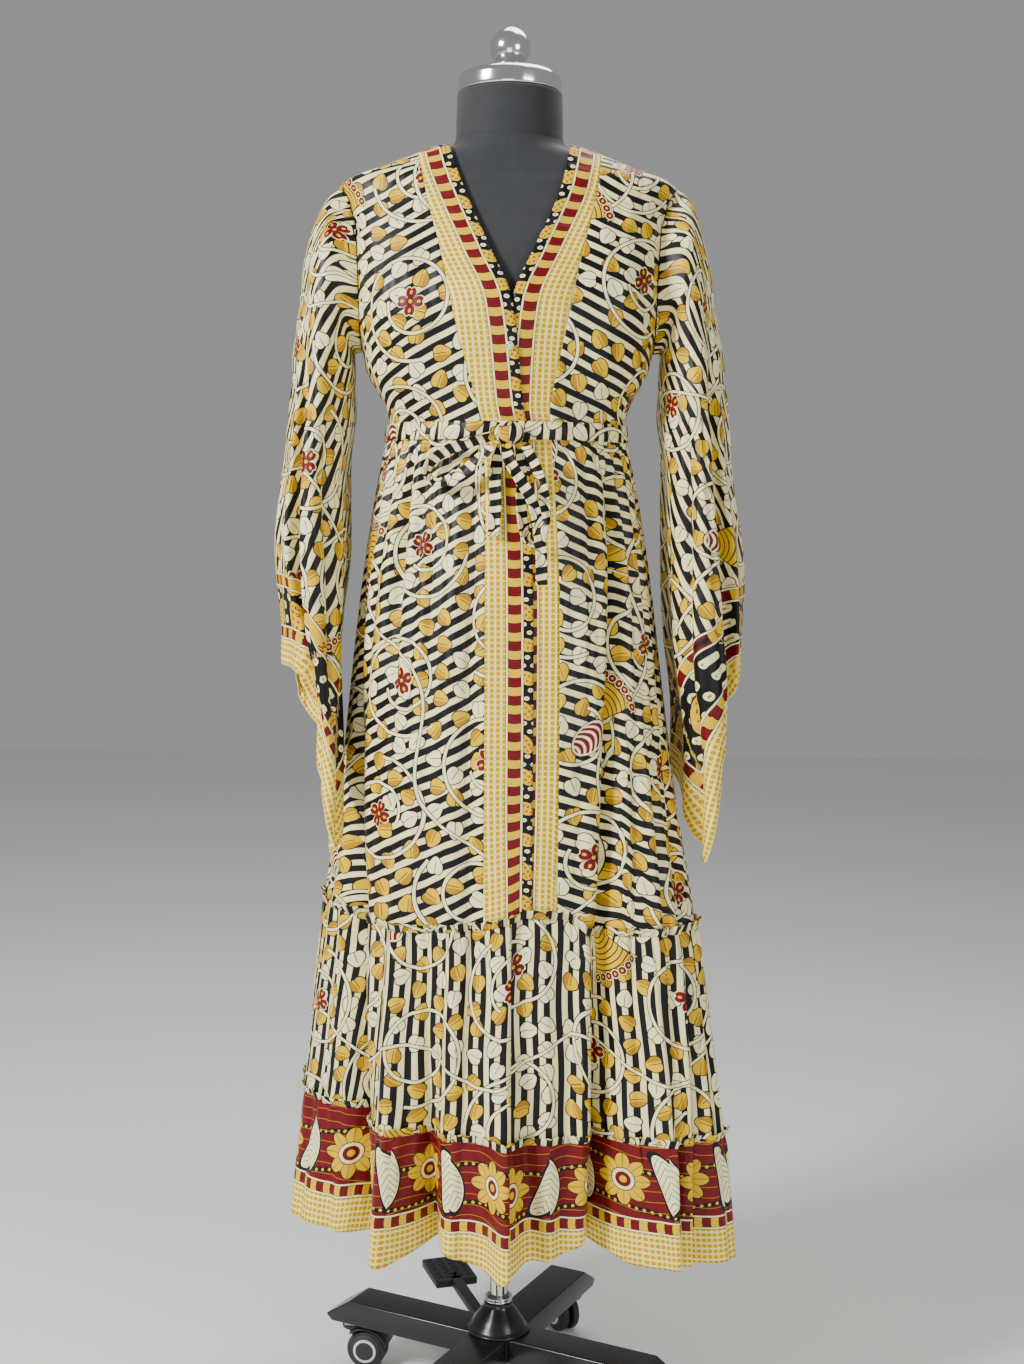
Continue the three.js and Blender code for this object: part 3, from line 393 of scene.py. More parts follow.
def hem_border():
    """The hem band: dots and blocks along its edge, lotus flowers and long leaves on maroon."""
    tree, (along, across) = node_group("hem_border", ["Along", "Across"])
    drift = ((along * 0.021).sin() * 9 + across) % 47.0 - 23.5
    colour = lay_tones(tree, MAROON, drift.abs(), ((3.2, INK),))
    pips = length_of(along % 9.0 - 4.5, drift)
    colour = lay_tones(tree, colour, pips, ((1.9, BRIGHT),))
    wide = 118.0
    cell = (along / wide).floor()
    a = along - (cell + 0.5) * wide
    b = across - 98 - (cell.chance(0.4) - 0.5) * 14
    weave = ((b + (a * 0.05).sin() * 4) % 13.0 - 6.5).abs()
    colour = lay_tones(tree, colour, weave, ((0.35, GOLD),))
    reach, round_it = length_of(a * 0.92, b), angle_of(a * 0.92, b)
    petals = reach - ((round_it * 4).cos().abs() * 0.34 + 0.66) * 31
    colour = lay_tones(tree, colour, petals, ((1.4, INK), (0, BRIGHT)))
    veins = ((round_it * 16).cos() * -1 + 0.86) * reach
    colour = lay(tree, colour, veins.soft_edge(2) * petals.soft_edge(), GOLD)
    eye_tones = ((14, INK), (12.8, PALE), (9, MAROON), (4.2, BRIGHT))
    colour = lay_tones(tree, colour, reach, eye_tones)
    c = (along + wide / 2) % wide - wide / 2
    c, d = turned(c, b, cell.chance(0.8) * 0.9 - 0.45)
    blade = length_of(c * 2.0 + d * d * 0.011, d * 0.72) - 27
    colour = lay_tones(tree, colour, blade, ((4, INK), (0, PALE)))
    ribs = ((c.abs() * 1.1 + d) % 8.4 - 4.2).abs() - 0.6
    colour = lay(tree, colour, ribs.soft_edge() * (blade + 2).soft_edge(), INK)
    colour = lay(tree, colour, across.below(41), dotted_strip(tree, along, across))
    colour = ladder(tree, colour, along, across, 41, 54, 9.5)
    return close_group(tree, colour)


PRINT = main_print()
FRONT_BORDER = edge_border()
CUFF_BORDER = cuff_border()
HEM_BORDER = hem_border()


def noise_value(tree, place, scale, detail):
    """Cloudy noise, from zero to one."""
    slots = {"Vector": place, "Scale": scale, "Detail": detail}
    return Value(tree, add_node(tree, "TexNoise", slots).outputs["Fac"])


def bumped(tree, height, strength, distance, **under):
    """The normal of a surface with fine relief, laid over another relief if one is given."""
    slots = {"Height": height, "Strength": strength, "Distance": distance}
    return add_node(tree, "Bump", {**slots, **under}).outputs[0]


def satin(name, turn=0.0, shift=(0, 0), border=None, reach=0.0, tone=1.0):
    """Printed satin. The print is turned by degrees and shifted; a border covers what lies
    within reach of the edge, measured by the second UV map."""
    material, tree, shader = new_material(name)

    def uv_place(label):
        source = tree.nodes.new("ShaderNodeUVMap")
        source.uv_map = label
        return source.outputs[0]

    def uv_values(label):
        parts = add_node(tree, "SeparateXYZ", {0: uv_place(label)})
        return [Value(tree, part) * 1000 for part in parts.outputs[:2]]

    def printed(made, first, second):
        node = tree.nodes.new("ShaderNodeGroup")
        node.node_tree = made
        fill(node, {0: first, 1: second})
        return node.outputs[0]

    u, v = uv_values("cloth")
    angle = math.radians(turn)
    colour = None
    if border is None or reach < 1000:
        across = u * math.cos(angle) + v * math.sin(angle) + shift[0]
        up = v * math.cos(angle) - u * math.sin(angle) + shift[1]
        colour = printed(PRINT, across, up)
    if border is not None:
        along, inward = uv_values("edge")
        edging = printed(border, along, inward)
        colour = edging if colour is None else lay(tree, colour, inward.below(reach), edging)

    # the dye is a little uneven, and the weave of the satin shows close up
    place = uv_place("cloth")
    uneven = noise_value(tree, place, 26, 3) * 0.3 + 0.85 * tone
    shade = tree.nodes.new("ShaderNodeVectorMath")
    shade.operation = "SCALE"
    fill(shade, {0: colour, "Scale": uneven})
    weave = (u * 5.2).sin() * 0.5 + (v * 3.1 + u * 0.6).sin() * 0.5
    grain = bumped(tree, weave * 0.05 + noise_value(tree, place, 160, 2) * 0.9, 0.16, 0.0012)

    # soft wrinkles that run down the cloth
    fall = add_node(tree, "CombineXYZ", {0: u * 0.03 + (v * 0.011).sin() * 0.25, 1: v * 0.0065})
    wrinkle = noise_value(tree, fall.outputs[0], 1.0, 2)
    fill(shader, {
        "Base Color": shade.outputs[0], "Normal": bumped(tree, wrinkle, 0.75, 0.011, Normal=grain),
        "Roughness": 0.46, "Specular IOR Level": 0.26, "Sheen Weight": 0.03, "Sheen Roughness": 0.4,
    })
    return material


# ---------------------------------------------------------------- the form's and the robe's shape
# A place is an angle round the pole (0 front, 90 right, 180 back) and a height, in millimetres.
# The form is smooth, the robe hangs off it with ease, and folds and gathers push its face in
# and out.
CLOTH = 1.5
WAIST, TIER, BAND, HEM = 1165.0, 610.0, 375.0, 226.0
FORM = (  # height, half width, depth in front, depth behind
    (800, 150, 100, 106), (830, 159, 107, 116), (950, 163, 110, 124), (1050, 147, 102, 108),
    (1165, 124, 88, 86), (1230, 131, 99, 91), (1300, 151, 117, 101), (1357, 163, 103, 103),
    (1404, 174, 83, 99), (1434, 184, 71, 87), (1446, 188, 67, 80), (1453, 177, 64, 74),
    (1463, 147, 62, 71), (1470, 126, 61, 68), (1478, 104, 60, 66), (1488, 72, 59, 62),
    (1497, 62.5, 59, 60), (1520, 61, 60, 60), (1551, 60, 60, 60),
)
BODICE_EASE = (  # height, how far off the form, how much more at the sides, how square in plan
    (WAIST, 12.5, 0, 0), (1180, 12.5, 0.2, 0), (1207, 12.7, 5.5, 0.5), (1224, 13, 12, 0.9),
    (1241, 13, 16.5, 1), (1270, 12.6, 14, 1), (1300, 12, 9, 1), (1357, 9, 4, 1),
    (1404, 7, 0, 0.7), (1434, 6, 0, 0.15), (1450, 6, 0, 0), (1490, 6, 0, 0),
)
SQUARE_POWER = 2.8
BODICE_HALF = 140
BAND_EDGES = (  # height, then left outer and inner edge, right inner and outer edge
    (TIER, -20, 33, 8, 62), (1000, -22, 31, 8, 60), (WAIST, -25, 24, 1, 50),
    (1200, -33, 18, -3, 49), (1306, -62, 5, 5, 70), (1356, -73, -17, 26, 81),
    (1404, -86, -38, 47, 93), (1434, -93, -50, 58, 99), (1460, -99, -60, 64, 102),
    (1478, -104, -66, 68, 104), (1488, -104, -70, 70, 104),
)
LEFT_OUTER, LEFT_INNER, RIGHT_INNER, RIGHT_OUTER = range(4)
SKIRT = (  # height, half width, depth in front, depth behind, how far the sides swing
    (HEM, 256, 132, 150, 96), (BAND, 244, 148, 160, 112), (TIER, 217, 152, 164, 78),
    (750, 196, 147, 160, 46), (880, 181, 138, 154, 18), (1000, 167, 125, 141, 4),
    (1090, 152, 112, 122, 0), (WAIST, 136.5, 100.5, 98.5, 0),
)
FOLDS = (  # at the waist, tier seam and hem, half width, then depths from the waist down to the hem
    (-88, -52, -42, 20, 0, -20, -46, -70), (-51, -33, -30, 17, -6, 6, 18, 30),
    (-30, -21, -20.5, 16, 0, -9, -28, -48), (-14, -9.5, -9, 14, -4, -6, -3, -4),
    (0, 0, 2, 17, 0, 3, 26, 50), (10, 12, 12.7, 12, 0, 3, 6, 10),
    (55, 33, 28.5, 15, -7, -20, -44, -66), (72, 50, 46, 20, 0, 6, 16, 24),
    (86, 74, 68, 16, -3, -10, -24, -34), (96, 92, 90, 22, 0, 5, 10, 16),
    (118, 113, 110, 17, -4, -12, -28, -40), (134, 131, 129, 20, 0, 5, 13, 20),
    (150, 151, 152, 18, -6, -14, -32, -48), (170, 171, 172, 22, 2, 6, 14, 22),
    (189, 191, 192, 15, -5, -12, -26, -38), (208, 209, 211, 20, 0, 6, 14, 22),
    (228, 229, 229, 18, -5, -14, -34, -50), (246, 244, 242, 22, 0, 7, 18, 28),
    (262, 262, 262, 16, -3, -7, -16, -22), (282, 290, 294, 20, 0, 5, 12, 18),
)
GATHERS = {  # waves round, seed, size at heights
    "skirt": (34, 0.4, ((WAIST, 0), (1150, 0.6), (1120, 4.6), (980, 3.0), (TIER, 1.8))),
    "tier": (32, 1.7, ((TIER, 1.6), (TIER - 40, 4.2), (BAND, 3.6))),
    "hem": (36, 2.9, ((BAND, 1.8), (BAND - 35, 4.2), (HEM, 4.6))),
}
SHARP_FOLDS = (  # degrees at the waist, at the tier seam and at the hem, depth, half width
    (-49, -38, -28, 8, 6), (-14, -10, -9.5, 7, 5), (40, 22, 15, 5, 5), (55, 32, 27, 18, 6),
    (-88, -54, -43.5, 26, 5), (74, 58, 50, 7, 7), (86, 70, 66, 6, 7), (-86, -70, -66, 5, 7),
    (-33, -24, -20, 6, 5), (66, 44, 38, 6, 6), (102, 104, 101, 5, 8), (118, 113, 110, 6, 8),
    (142, 141, 140, 4, 7), (150, 152, 153, 6, 8), (178, 181, 182, 4, 7), (189, 192, 193, 6, 8),
    (216, 217, 219, 5, 7), (228, 229, 229, 6, 8), (252, 251, 250, 4, 7), (262, 263, 263, 5, 7),
    (276, 280, 284, 4, 7),
)


def ease(value):
    value = np.clip(value, 0, 1)
    return value * value * (3 - 2 * value)


def mix(start, end, share):
    return start + (end - start) * share


def sine(angle):
    return np.sin(np.radians(angle))


def cosine(angle):
    return np.cos(np.radians(angle))


def apart(angle, other):
    """How many degrees lie between two angles."""
    return np.abs((angle - other + 180) % 360 - 180)


def read_table(table, at):
    """The table's columns after the first, at values of the first, on smooth curves."""
    rows = np.array(table, float)
    rows = rows[np.argsort(rows[:, 0])]
    marks, at = rows[:, 0], np.clip(at, rows[0, 0], rows[-1, 0])
    low = np.clip(np.searchsorted(marks, at, "right") - 1, 0, len(rows) - 2)
    before, end, after = np.maximum(low - 1, 0), low + 1, np.minimum(low + 2, len(rows) - 1)
    span = marks[end] - marks[low]
    t = (at - marks[low]) / span
    columns = []
    for column in rows[:, 1:].T:
        into = (column[end] - column[before]) / (marks[end] - marks[before]) * span
        out = (column[after] - column[low]) / (marks[after] - marks[low]) * span
        columns.append(
            (2 * t**3 - 3 * t**2 + 1) * column[low] + (t**3 - 2 * t**2 + t) * into
            + (3 * t**2 - 2 * t**3) * column[end] + (t**3 - t**2) * out
        )
    return columns


def on_form(angle, height):
    angle, height = np.broadcast_arrays(np.asarray(angle, float), np.asarray(height, float))
    half, front, back = read_table(FORM, height)
    side, facing = sine(angle), cosine(angle)
    return np.stack([half * side, -np.where(facing > 0, front, back) * facing, height], -1)


def unit(vectors):
    return vectors / np.maximum(np.linalg.norm(vectors, axis=-1, keepdims=True), 1e-9)


def off_form(angle, height, out):
    up = on_form(angle, height + 1) - on_form(angle, height - 1)
    round_it = on_form(angle + 0.5, height) - on_form(angle - 0.5, height)
    return on_form(angle, height) + unit(np.cross(round_it, up)) * np.asarray(out)[..., None]


def creases(u, v, marks):
    """Soft creases: each has a middle, a direction in degrees, a length, a width and a depth."""
    total = np.zeros(np.broadcast(u, v).shape)
    for mid_u, mid_v, turn, length, width, depth in marks:
        c, s = math.cos(math.radians(turn)), math.sin(math.radians(turn))
        along, across = (u - mid_u) * c + (v - mid_v) * s, (v - mid_v) * c - (u - mid_u) * s
        across = across + 0.0012 * along * along * math.copysign(1, depth)
        total += depth * np.exp(-((along / length) ** 2) - (across / width) ** 2)
    return total


BODICE_CREASES = (  # across, height, direction, half length, half width, depth
    (-98, 1330, 62, 60, 7, 1.8), (-118, 1300, 70, 55, 7, -1.8), (-84, 1262, 78, 60, 8, 1.8),
    (-58, 1228, 82, 45, 7, -1.6), (-120, 1236, 84, 50, 8, 1.6), (-100, 1200, 86, 36, 6, -1.7),
    (-140, 1390, 50, 50, 9, -1.8), (-128, 1420, 40, 46, 9, 1.6), (-70, 1192, 90, 30, 6, 1.8),
    (-44, 1196, 88, 26, 5, -1.3), (98, 1325, 118, 60, 7, 1.8), (122, 1296, 110, 52, 7, -1.8),
    (92, 1252, 100, 55, 8, 1.8), (66, 1215, 96, 40, 7, -1.6), (118, 1226, 96, 44, 8, 1.5),
    (142, 1388, 130, 50, 9, -1.8), (126, 1418, 140, 46, 9, 1.6), (80, 1190, 92, 30, 6, -1.6),
    (104, 1194, 88, 34, 6, 1.7), (0, 1240, 90, 40, 10, -0.6),
)


def square_scale(angle):
    sideways, facing = np.abs(sine(angle)), np.abs(cosine(angle))
    scale = (sideways**SQUARE_POWER + facing**SQUARE_POWER) ** (-1 / SQUARE_POWER)
    return mix(1, scale, ease((sideways - 0.35) / 0.4))


def on_bodice(angle, height, out=0.0):
    shoulder = ease((height - 1395) / 35) * np.abs(sine(angle)) ** 20
    seated = CLOTH + 0.6 + 1.9 * ease((height - 1460) / 12)
    free, side, square = read_table(BODICE_EASE, height)
    facing, across = cosine(angle), BODICE_HALF * sine(angle)
    body = mix(free, seated, shoulder) + out
    scale = mix(1, square_scale(angle), square)
    crease = creases(across, height, BODICE_CREASES) * ease((height - WAIST) / 25)
    place = off_form(angle, height, body + crease * (1 - shoulder) * np.where(facing > 0, 1, 0.8))
    place[..., 0] = place[..., 0] * scale + side * sine(angle) ** 3
    place[..., 1] = place[..., 1] * scale
    place[..., 2] = np.where(height < WAIST + 1, height, place[..., 2])
    return place


def band_angle(edge, height, surface):
    """The angle at which a surface is as far across as the band's edge."""
    across = read_table(BAND_EDGES, height)[edge]
    low, high = np.full(len(height), -90.0), np.full(len(height), 90.0)
    for _ in range(24):
        middle = (low + high) / 2
        short = surface(middle, height)[..., 0] < across
        low, high = np.where(short, middle, low), np.where(short, high, middle)
    return low


def level_skirt(angle, height):
    x = read_table(SKIRT, height)[0] * sine(angle)
    return np.stack([x, 0 * x, height + 0 * x], -1)


def tucked_under(across):
    return -2.4 * (1 - ease((across - 36) / 24))


def on_right_bodice(angle, height, out=0.0):
    across = off_form(angle, height, read_table(BODICE_EASE, height)[0])[..., 0]
    return on_bodice(angle, height, out + ease((1350 - height) / 40) * tucked_under(across))


def way_down(height):
    """From zero at the waist to one at the hem."""
    return np.clip((WAIST - height) / (WAIST - HEM), 0, 1)


def fold_angle(down, at_waist, at_tier, at_hem):
    """The angle of a fold on its way down, straight above the tier seam and below it."""
    share = (WAIST - TIER) / (WAIST - HEM)
    below = mix(at_tier, at_hem, (down - share) / (1 - share))
    return np.where(down < share, mix(at_waist, at_tier, down / share), below)


def degree_length(angle, half, depth):
    """The length of a degree round the skirt."""
    return math.radians(1) * np.hypot(half * cosine(angle), depth * sine(angle))


def fold_depth(angle, height, half, depth):
    """The broad folds: each widens and deepens on its way down."""
    down, per_degree = way_down(height), degree_length(angle, half, depth)
    total = np.zeros(np.shape(angle))
    for *places, width, waist_deep, tier_deep, seam_deep, hem_deep in FOLDS:
        deep = read_table((
            (WAIST, 0), (WAIST - 20, 0), (WAIST - 80, waist_deep), (TIER, tier_deep),
            (BAND, seam_deep), (HEM, hem_deep),
        ), height)[0]
        away = apart(angle, fold_angle(down, *places)) * per_degree
        total += deep * np.exp(-((away / (width * mix(0.55, 1, down))) ** 2))
    return total


def sharp_folds(angle, height, half, depth):
    """Narrow valleys between the broad folds, fading out under the waist."""
    down, per_degree = way_down(height), degree_length(angle, half, depth)
    total = np.zeros(np.shape(angle))
    for number, (*places, deep, width) in enumerate(SHARP_FOLDS):
        wander = 0.7 * np.sin(height / 90 + number * 1.9) * ease(down * 6)
        away = apart(angle, fold_angle(down, *places) + wander) * per_degree
        along = 0.75 + 0.25 * np.sin(height / 130 + number * 2.3)
        valley = np.sqrt((away / (width * mix(0.6, 1.2, down))) ** 2 + 0.03)
        total += deep * along * np.exp(-valley) * ease((down - 0.015) * 9)
    return total


def skirt_surface(kind, under=None):
    """The outer face of the skirt, tier or hem band, with the fine puckers of its seam."""
    count, seed, sizes = GATHERS[kind]
    top = {"skirt": WAIST - 8, "tier": TIER, "hem": BAND}[kind]

    def surface(angle, height, out=0.0):
        angle, height = np.broadcast_arrays(np.asarray(angle, float), np.asarray(height, float))
        half, front, back, swing = read_table(SKIRT, height)
        facing, side = cosine(angle), sine(angle)
        depth = np.where(facing > 0, front, back)
        across, turn = half * side, np.radians(angle)
        uneven = np.sin(turn * 5 + seed) * 0.8 + np.sin(turn * 11 + seed * 2) * 0.4
        strength = 0.75 + 0.25 * np.sin(turn * 7 + seed * 3)
        still = np.where(facing > 0, ease((np.abs(across - 20) - 42) / 30), 1)
        wave = 2 * np.sqrt(np.cos(turn * count / 2 + uneven / 2) ** 2 + 0.02) - 1.1
        gather = read_table(sizes, height)[0] * strength * still * wave
        pucker = np.exp(-(((height - top + 14) / 16) ** 2)) + 0.35 * np.exp(-(top - height) / 70)
        ripple = np.cos(turn * count * 2.6 + uneven * 3 + height * 0.012) * 1.1
        ripple = ripple + np.cos(turn * count * 1.7 + seed * 5 + height * 0.02) * 0.7
        push = fold_depth(angle, height, half, depth) + gather + out
        push = push - sharp_folds(angle, height, half, depth)
        push = push + pucker * ripple * np.where(kind == "skirt", still, mix(0.4, 1, still))
        if under is not None:
            push = push + under(across, angle, facing)
        forward = (depth + push) * facing + swing * side**3
        return np.stack([(half + push) * side, -forward, height], -1)

    return surface


on_skirt = skirt_surface("skirt")
on_right_skirt = skirt_surface("skirt", lambda across, angle, facing: np.where(
    facing > 0, tucked_under(across), 0
))
on_tier = skirt_surface("tier")
on_right_tier = skirt_surface("tier", lambda across, angle, facing: -5 * (1 - ease((angle - 4) / 8)))
on_hem = skirt_surface("hem")
on_right_hem = skirt_surface("hem", lambda across, angle, facing: -9 * (1 - ease((angle - 4) / 8)))


def running(points, axis):
    """Length along a grid's rows or columns, from zero."""
    lengths = np.linalg.norm(np.diff(points, axis=axis), axis=-1)
    pad = np.zeros_like(np.take(points[..., 0], [0], axis))
    return np.concatenate([pad, np.cumsum(lengths, axis)], axis)


def closed_round(points):
    return np.concatenate([points, points[:, :1]], 1)


def ring_uv(points, row, top):
    """Print places for a closed ring: round it as measured on one row, and up from its edge."""
    seam = closed_round(points)
    return np.stack([running(seam, 1)[row] + 0 * seam[..., 0], top - running(seam, 0)], -1)


def cloth(name, points, uv, edge, material, node, closed=False, thickness=0.7,
          rests_on=("torso",)):
    """A thin shell through rows of points, from the top down and anticlockwise seen from above."""
    rows, columns = points.shape[:2]
    spans = columns if closed else columns - 1
    i, j = np.meshgrid(np.arange(rows - 1), np.arange(spans), indexing="ij")
    i, j = i.ravel(), j.ravel()
    after = (j + 1) % columns
    faces = np.stack([i * columns + j, (i + 1) * columns + j, (i + 1) * columns + after,
                      i * columns + after], -1)
    mesh = bpy.data.meshes.new(name)
    offset = np.array([POLE.x, POLE.y, 0])
    mesh.from_pydata((points.reshape(-1, 3) * MM + offset).tolist(), [], faces.tolist())
    corners = np.stack([np.stack([i, j], -1), np.stack([i + 1, j], -1),
                        np.stack([i + 1, j + 1], -1), np.stack([i, j + 1], -1)], 1)
    for label, values in (("cloth", uv), ("edge", edge)):
        if values is None:
            continue
        layer = mesh.uv_layers.new(name=label)
        picked = values[corners[..., 0], corners[..., 1]] * MM
        layer.data.foreach_set("uv", picked.reshape(-1))
    mesh.polygons.foreach_set("use_smooth", [True] * len(faces))
    mesh.materials.append(material)
    piece = bpy.data.objects.new(name, mesh)
    bpy.context.collection.objects.link(piece)
    shell = piece.modifiers.new("thickness", "SOLIDIFY")
    shell.thickness = thickness * MM
    shell.offset = -1
    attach(piece, "form")
    if node:
        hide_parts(node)
    around, down = running(points, 1)[:, -1], running(points, 0)[-1]
    across_cell = np.linalg.norm(np.cross(
        points[1:, :-1] - points[:-1, :-1], points[:-1, 1:] - points[:-1, :-1]
    ), axis=-1).sum() * MM * MM
    return piece


# ---------------------------------------------------------------- bodice
# Cut as two fronts and a back, darted by the gathers at the waist seam and sewn at the shoulders.
BODICE_ROWS = (  # armhole turn or side height, then inner, outer, nape angle, nape, back centre
    (0, 1487.6, 1478, 90, 1478, 1452), (6, 1481, 1472, 104, 1471, 1448),
    (14, 1471, 1463, 113, 1462, 1442), (22, 1457, 1450, 119, 1450, 1434),
    (30, 1441, 1435, 124, 1437, 1424), (60, 1402, 1398, 124, 1400, 1396),
    (90, 1358, 1355, 124, 1356, 1356), (120, 1317, 1315, 124, 1313, 1313),
    (150, 1284, 1283, 124, 1281, 1281), (180, 1262, 1262, 124, 1263, 1263),
    (1232, 1232, 1232, 124, 1232, 1232), (1203, 1203, 1203, 124, 1203, 1203),
    (1181, 1181, 1181, 124, 1181, 1181), (WAIST, WAIST, WAIST, 124, WAIST, WAIST),
)
ARMHOLE_OPENING, ARMHOLE_HEIGHT, ARMHOLE_HALF = 23, 1357, 93.4  # degrees, then millimetres


def armhole(turn):
    """Angle and height of the armhole's edge: zero at its top, 180 at its lowest point."""
    turn = np.radians(turn)
    return 90 - ARMHOLE_OPENING * np.sin(turn), ARMHOLE_HEIGHT + ARMHOLE_HALF * np.cos(turn)


def bodice_rows(count):
    """For rows down the bodice: the side's place, then the rest of the table, smooth between."""
    at = np.linspace(0, len(BODICE_ROWS) - 1, count)
    rows = np.array(BODICE_ROWS, float)
    marks = np.arange(len(rows))
    turn = np.interp(at, marks[:10], rows[:10, 0])
    angle, height = armhole(turn)
    side = np.interp(at, marks[9:], [ARMHOLE_HEIGHT - ARMHOLE_HALF, *rows[10:, 0]])
    angle, height = np.where(at > 9, 90, angle), np.where(at > 9, side, height)
    return angle, height, [np.interp(at, marks, rows[:, k]) for k in range(1, 6)]


def surface_lengths(surface, angle, height, from_angle, from_height):
    """How far a place lies along the cloth, round and up, from another one, in millimetres."""
    steps = np.linspace(0, 1, 20)[:, None, None]

    def path(angles, heights):
        return np.linalg.norm(np.diff(surface(angles, heights), axis=0), axis=-1).sum(0)

    u = path(from_angle + (angle - from_angle) * steps, height + 0 * steps)
    v = path(angle + 0 * steps, from_height + (height - from_height) * steps)
    return np.stack([u * np.sign(angle - from_angle), v * np.sign(height - from_height)], -1)


def panel(start, end, columns):
    """Places from one edge to the other, row by row: arrays of angles and heights."""
    share = np.linspace(0, 1, columns)[None, :]
    return [mix(np.asarray(a)[:, None], np.asarray(b)[:, None], share) for a, b in zip(start, end)]


side_angle, side_height, (inner, outer, nape_angle, nape, back_centre) = bodice_rows(92)


def bodice_edge(edge, heights):
    """The band's edge on the bodice; at the top it meets the shoulder seam."""
    limit = 90 * (1 if edge in (RIGHT_INNER, RIGHT_OUTER) else -1)
    angle = band_angle(edge, heights, on_bodice)
    return mix(angle, limit, np.clip(1 - np.arange(len(heights)) / 7, 0, 1)), heights


SATIN_LEFT = satin("satin_left", turn=27, shift=(40, 12))
SATIN_RIGHT = satin("satin_right", turn=-21, shift=(310, 95))
SATIN_BACK = satin("satin_back", turn=20, shift=(130, 260))
for name, start, end, surface, material in (
    ("bodice_front_left", (-side_angle, side_height), bodice_edge(LEFT_OUTER, outer),
     on_bodice, SATIN_LEFT),
    ("bodice_front_right", bodice_edge(RIGHT_OUTER, outer),
     (side_angle, side_height), on_right_bodice, SATIN_RIGHT),
):
    angles, heights = panel(start, end, 44)
    uv = surface_lengths(surface, angles, heights, 0.0, WAIST)
    cloth(f"{name}_cloth", surface(angles, heights), uv, None, material, name)

share = np.linspace(0, 1, 49)[None, :]
right_half = [
    np.where(share < 0.5, mix(a[:, None], b[:, None], share * 2),
             mix(b[:, None], c[:, None], share * 2 - 1))
    for a, b, c in ((180 - side_angle, nape_angle, np.full_like(nape_angle, 180)),
                    (side_height, nape, back_centre))
]
angles = np.concatenate([right_half[0], 360 - right_half[0][:, -2::-1]], 1)
heights = np.concatenate([right_half[1], right_half[1][:, -2::-1]], 1)
uv = surface_lengths(on_bodice, angles, heights, 180.0, WAIST)
cloth("bodice_back_cloth", on_bodice(angles, heights), uv, None, SATIN_BACK, "bodice_back")

# ---------------------------------------------------------------- skirt, tier and hem band
# Each is a long strip gathered onto the edge above it, in two fronts and a back.
SATIN_TIER_LEFT = satin("satin_tier_left", turn=90, shift=(20, 30))
SATIN_TIER_RIGHT = satin("satin_tier_right", turn=-90, shift=(200, 150))
SATIN_TIER_BACK = satin("satin_tier_back", turn=90, shift=(120, 420))
SATIN_HEM = satin("satin_hem", border=HEM_BORDER, reach=2000)
TIER_HALF, HEM_HALF = 217, 256


def seam_rise(angle):
    """The tier seam is drawn up where the stiffer front bands end in it."""
    across = TIER_HALF * sine(angle)
    marks = ((-400, 0), (-90, 0), (-25, 8), (0, 13), (26, 23), (74, 21), (98, 0), (400, 0))
    rise = np.interp(across, *np.transpose(marks))
    return np.where(cosine(angle) > 0, rise, 0)


def hem_rise(angle):
    """The hem hangs in shallow arches between its fold tips."""
    across = HEM_HALF * sine(angle)
    marks = ((-400, 0), (-160, -2), (-122, -8), (-84, 15), (-40, 2), (0, -8), (14, 4), (60, 8),
             (104, 26), (122, 18), (150, 0), (400, 0))
    front = np.interp(across, *np.transpose(marks))
    back = 7 * np.sin(np.radians(angle) * 11) + 4 * np.sin(np.radians(angle) * 17 + 1)
    return mix(back, front, ease(cosine(angle) * 3 + 0.5))


def strip(name, top, bottom, rows, start, end, columns, surface, material):
    """A panel of a strip: its print runs level, measured from its first edge and its hem."""
    height = np.linspace(top, bottom, rows)
    angles, heights = panel((start(height), height), (end(height), height), columns)
    points = surface(angles, heights)
    if TIER in (top, bottom):
        near = ease(1 - np.abs(heights - TIER) / 200)
        points[..., 2] += seam_rise(angles) * near
    if bottom == HEM:
        points[..., 2] += hem_rise(angles) * ease((BAND - heights) / (BAND - HEM))
    down = running(points, 0)
    middle = running(points, 1)[rows // 2]
    uv = np.stack([np.broadcast_to(middle, down.shape), down[-1].mean() - down], -1)
    return cloth(f"{name}_cloth", points, uv, uv, material, name,
                 rests_on=("torso", "belt_cloth") if surface in (on_skirt, on_right_skirt)
                 else ("skirt_back_cloth",))


def at_angle(angle):
    return lambda height: np.full(len(height), float(angle))


def at_edge(edge):
    return lambda height: band_angle(edge, height, level_skirt)


TIER_STEP, HEM_STEP = 360 / 128, 360 / 144
for name, start, end, columns, surface, material in (
    ("skirt_front_left", at_angle(-90), at_edge(LEFT_OUTER), 90, on_skirt, SATIN_LEFT),
    ("skirt_front_right", at_edge(RIGHT_OUTER), at_angle(90), 80, on_right_skirt, SATIN_RIGHT),
    ("skirt_back", at_angle(90), at_angle(270), 190, on_skirt, SATIN_BACK),
):
    strip(name, WAIST, TIER, 100, start, end, columns, surface, material)
for name, start, end, columns, surface, material in (
    ("tier_front_left", at_angle(-90), at_angle(TIER_STEP), 150, on_tier, SATIN_TIER_LEFT),
    ("tier_front_right", at_angle(-2 * TIER_STEP), at_angle(90), 150, on_right_tier,
     SATIN_TIER_RIGHT),
    ("tier_back", at_angle(90), at_angle(270), 270, on_tier, SATIN_TIER_BACK),
):
    strip(name, TIER, BAND, 44, start, end, columns, surface, material)
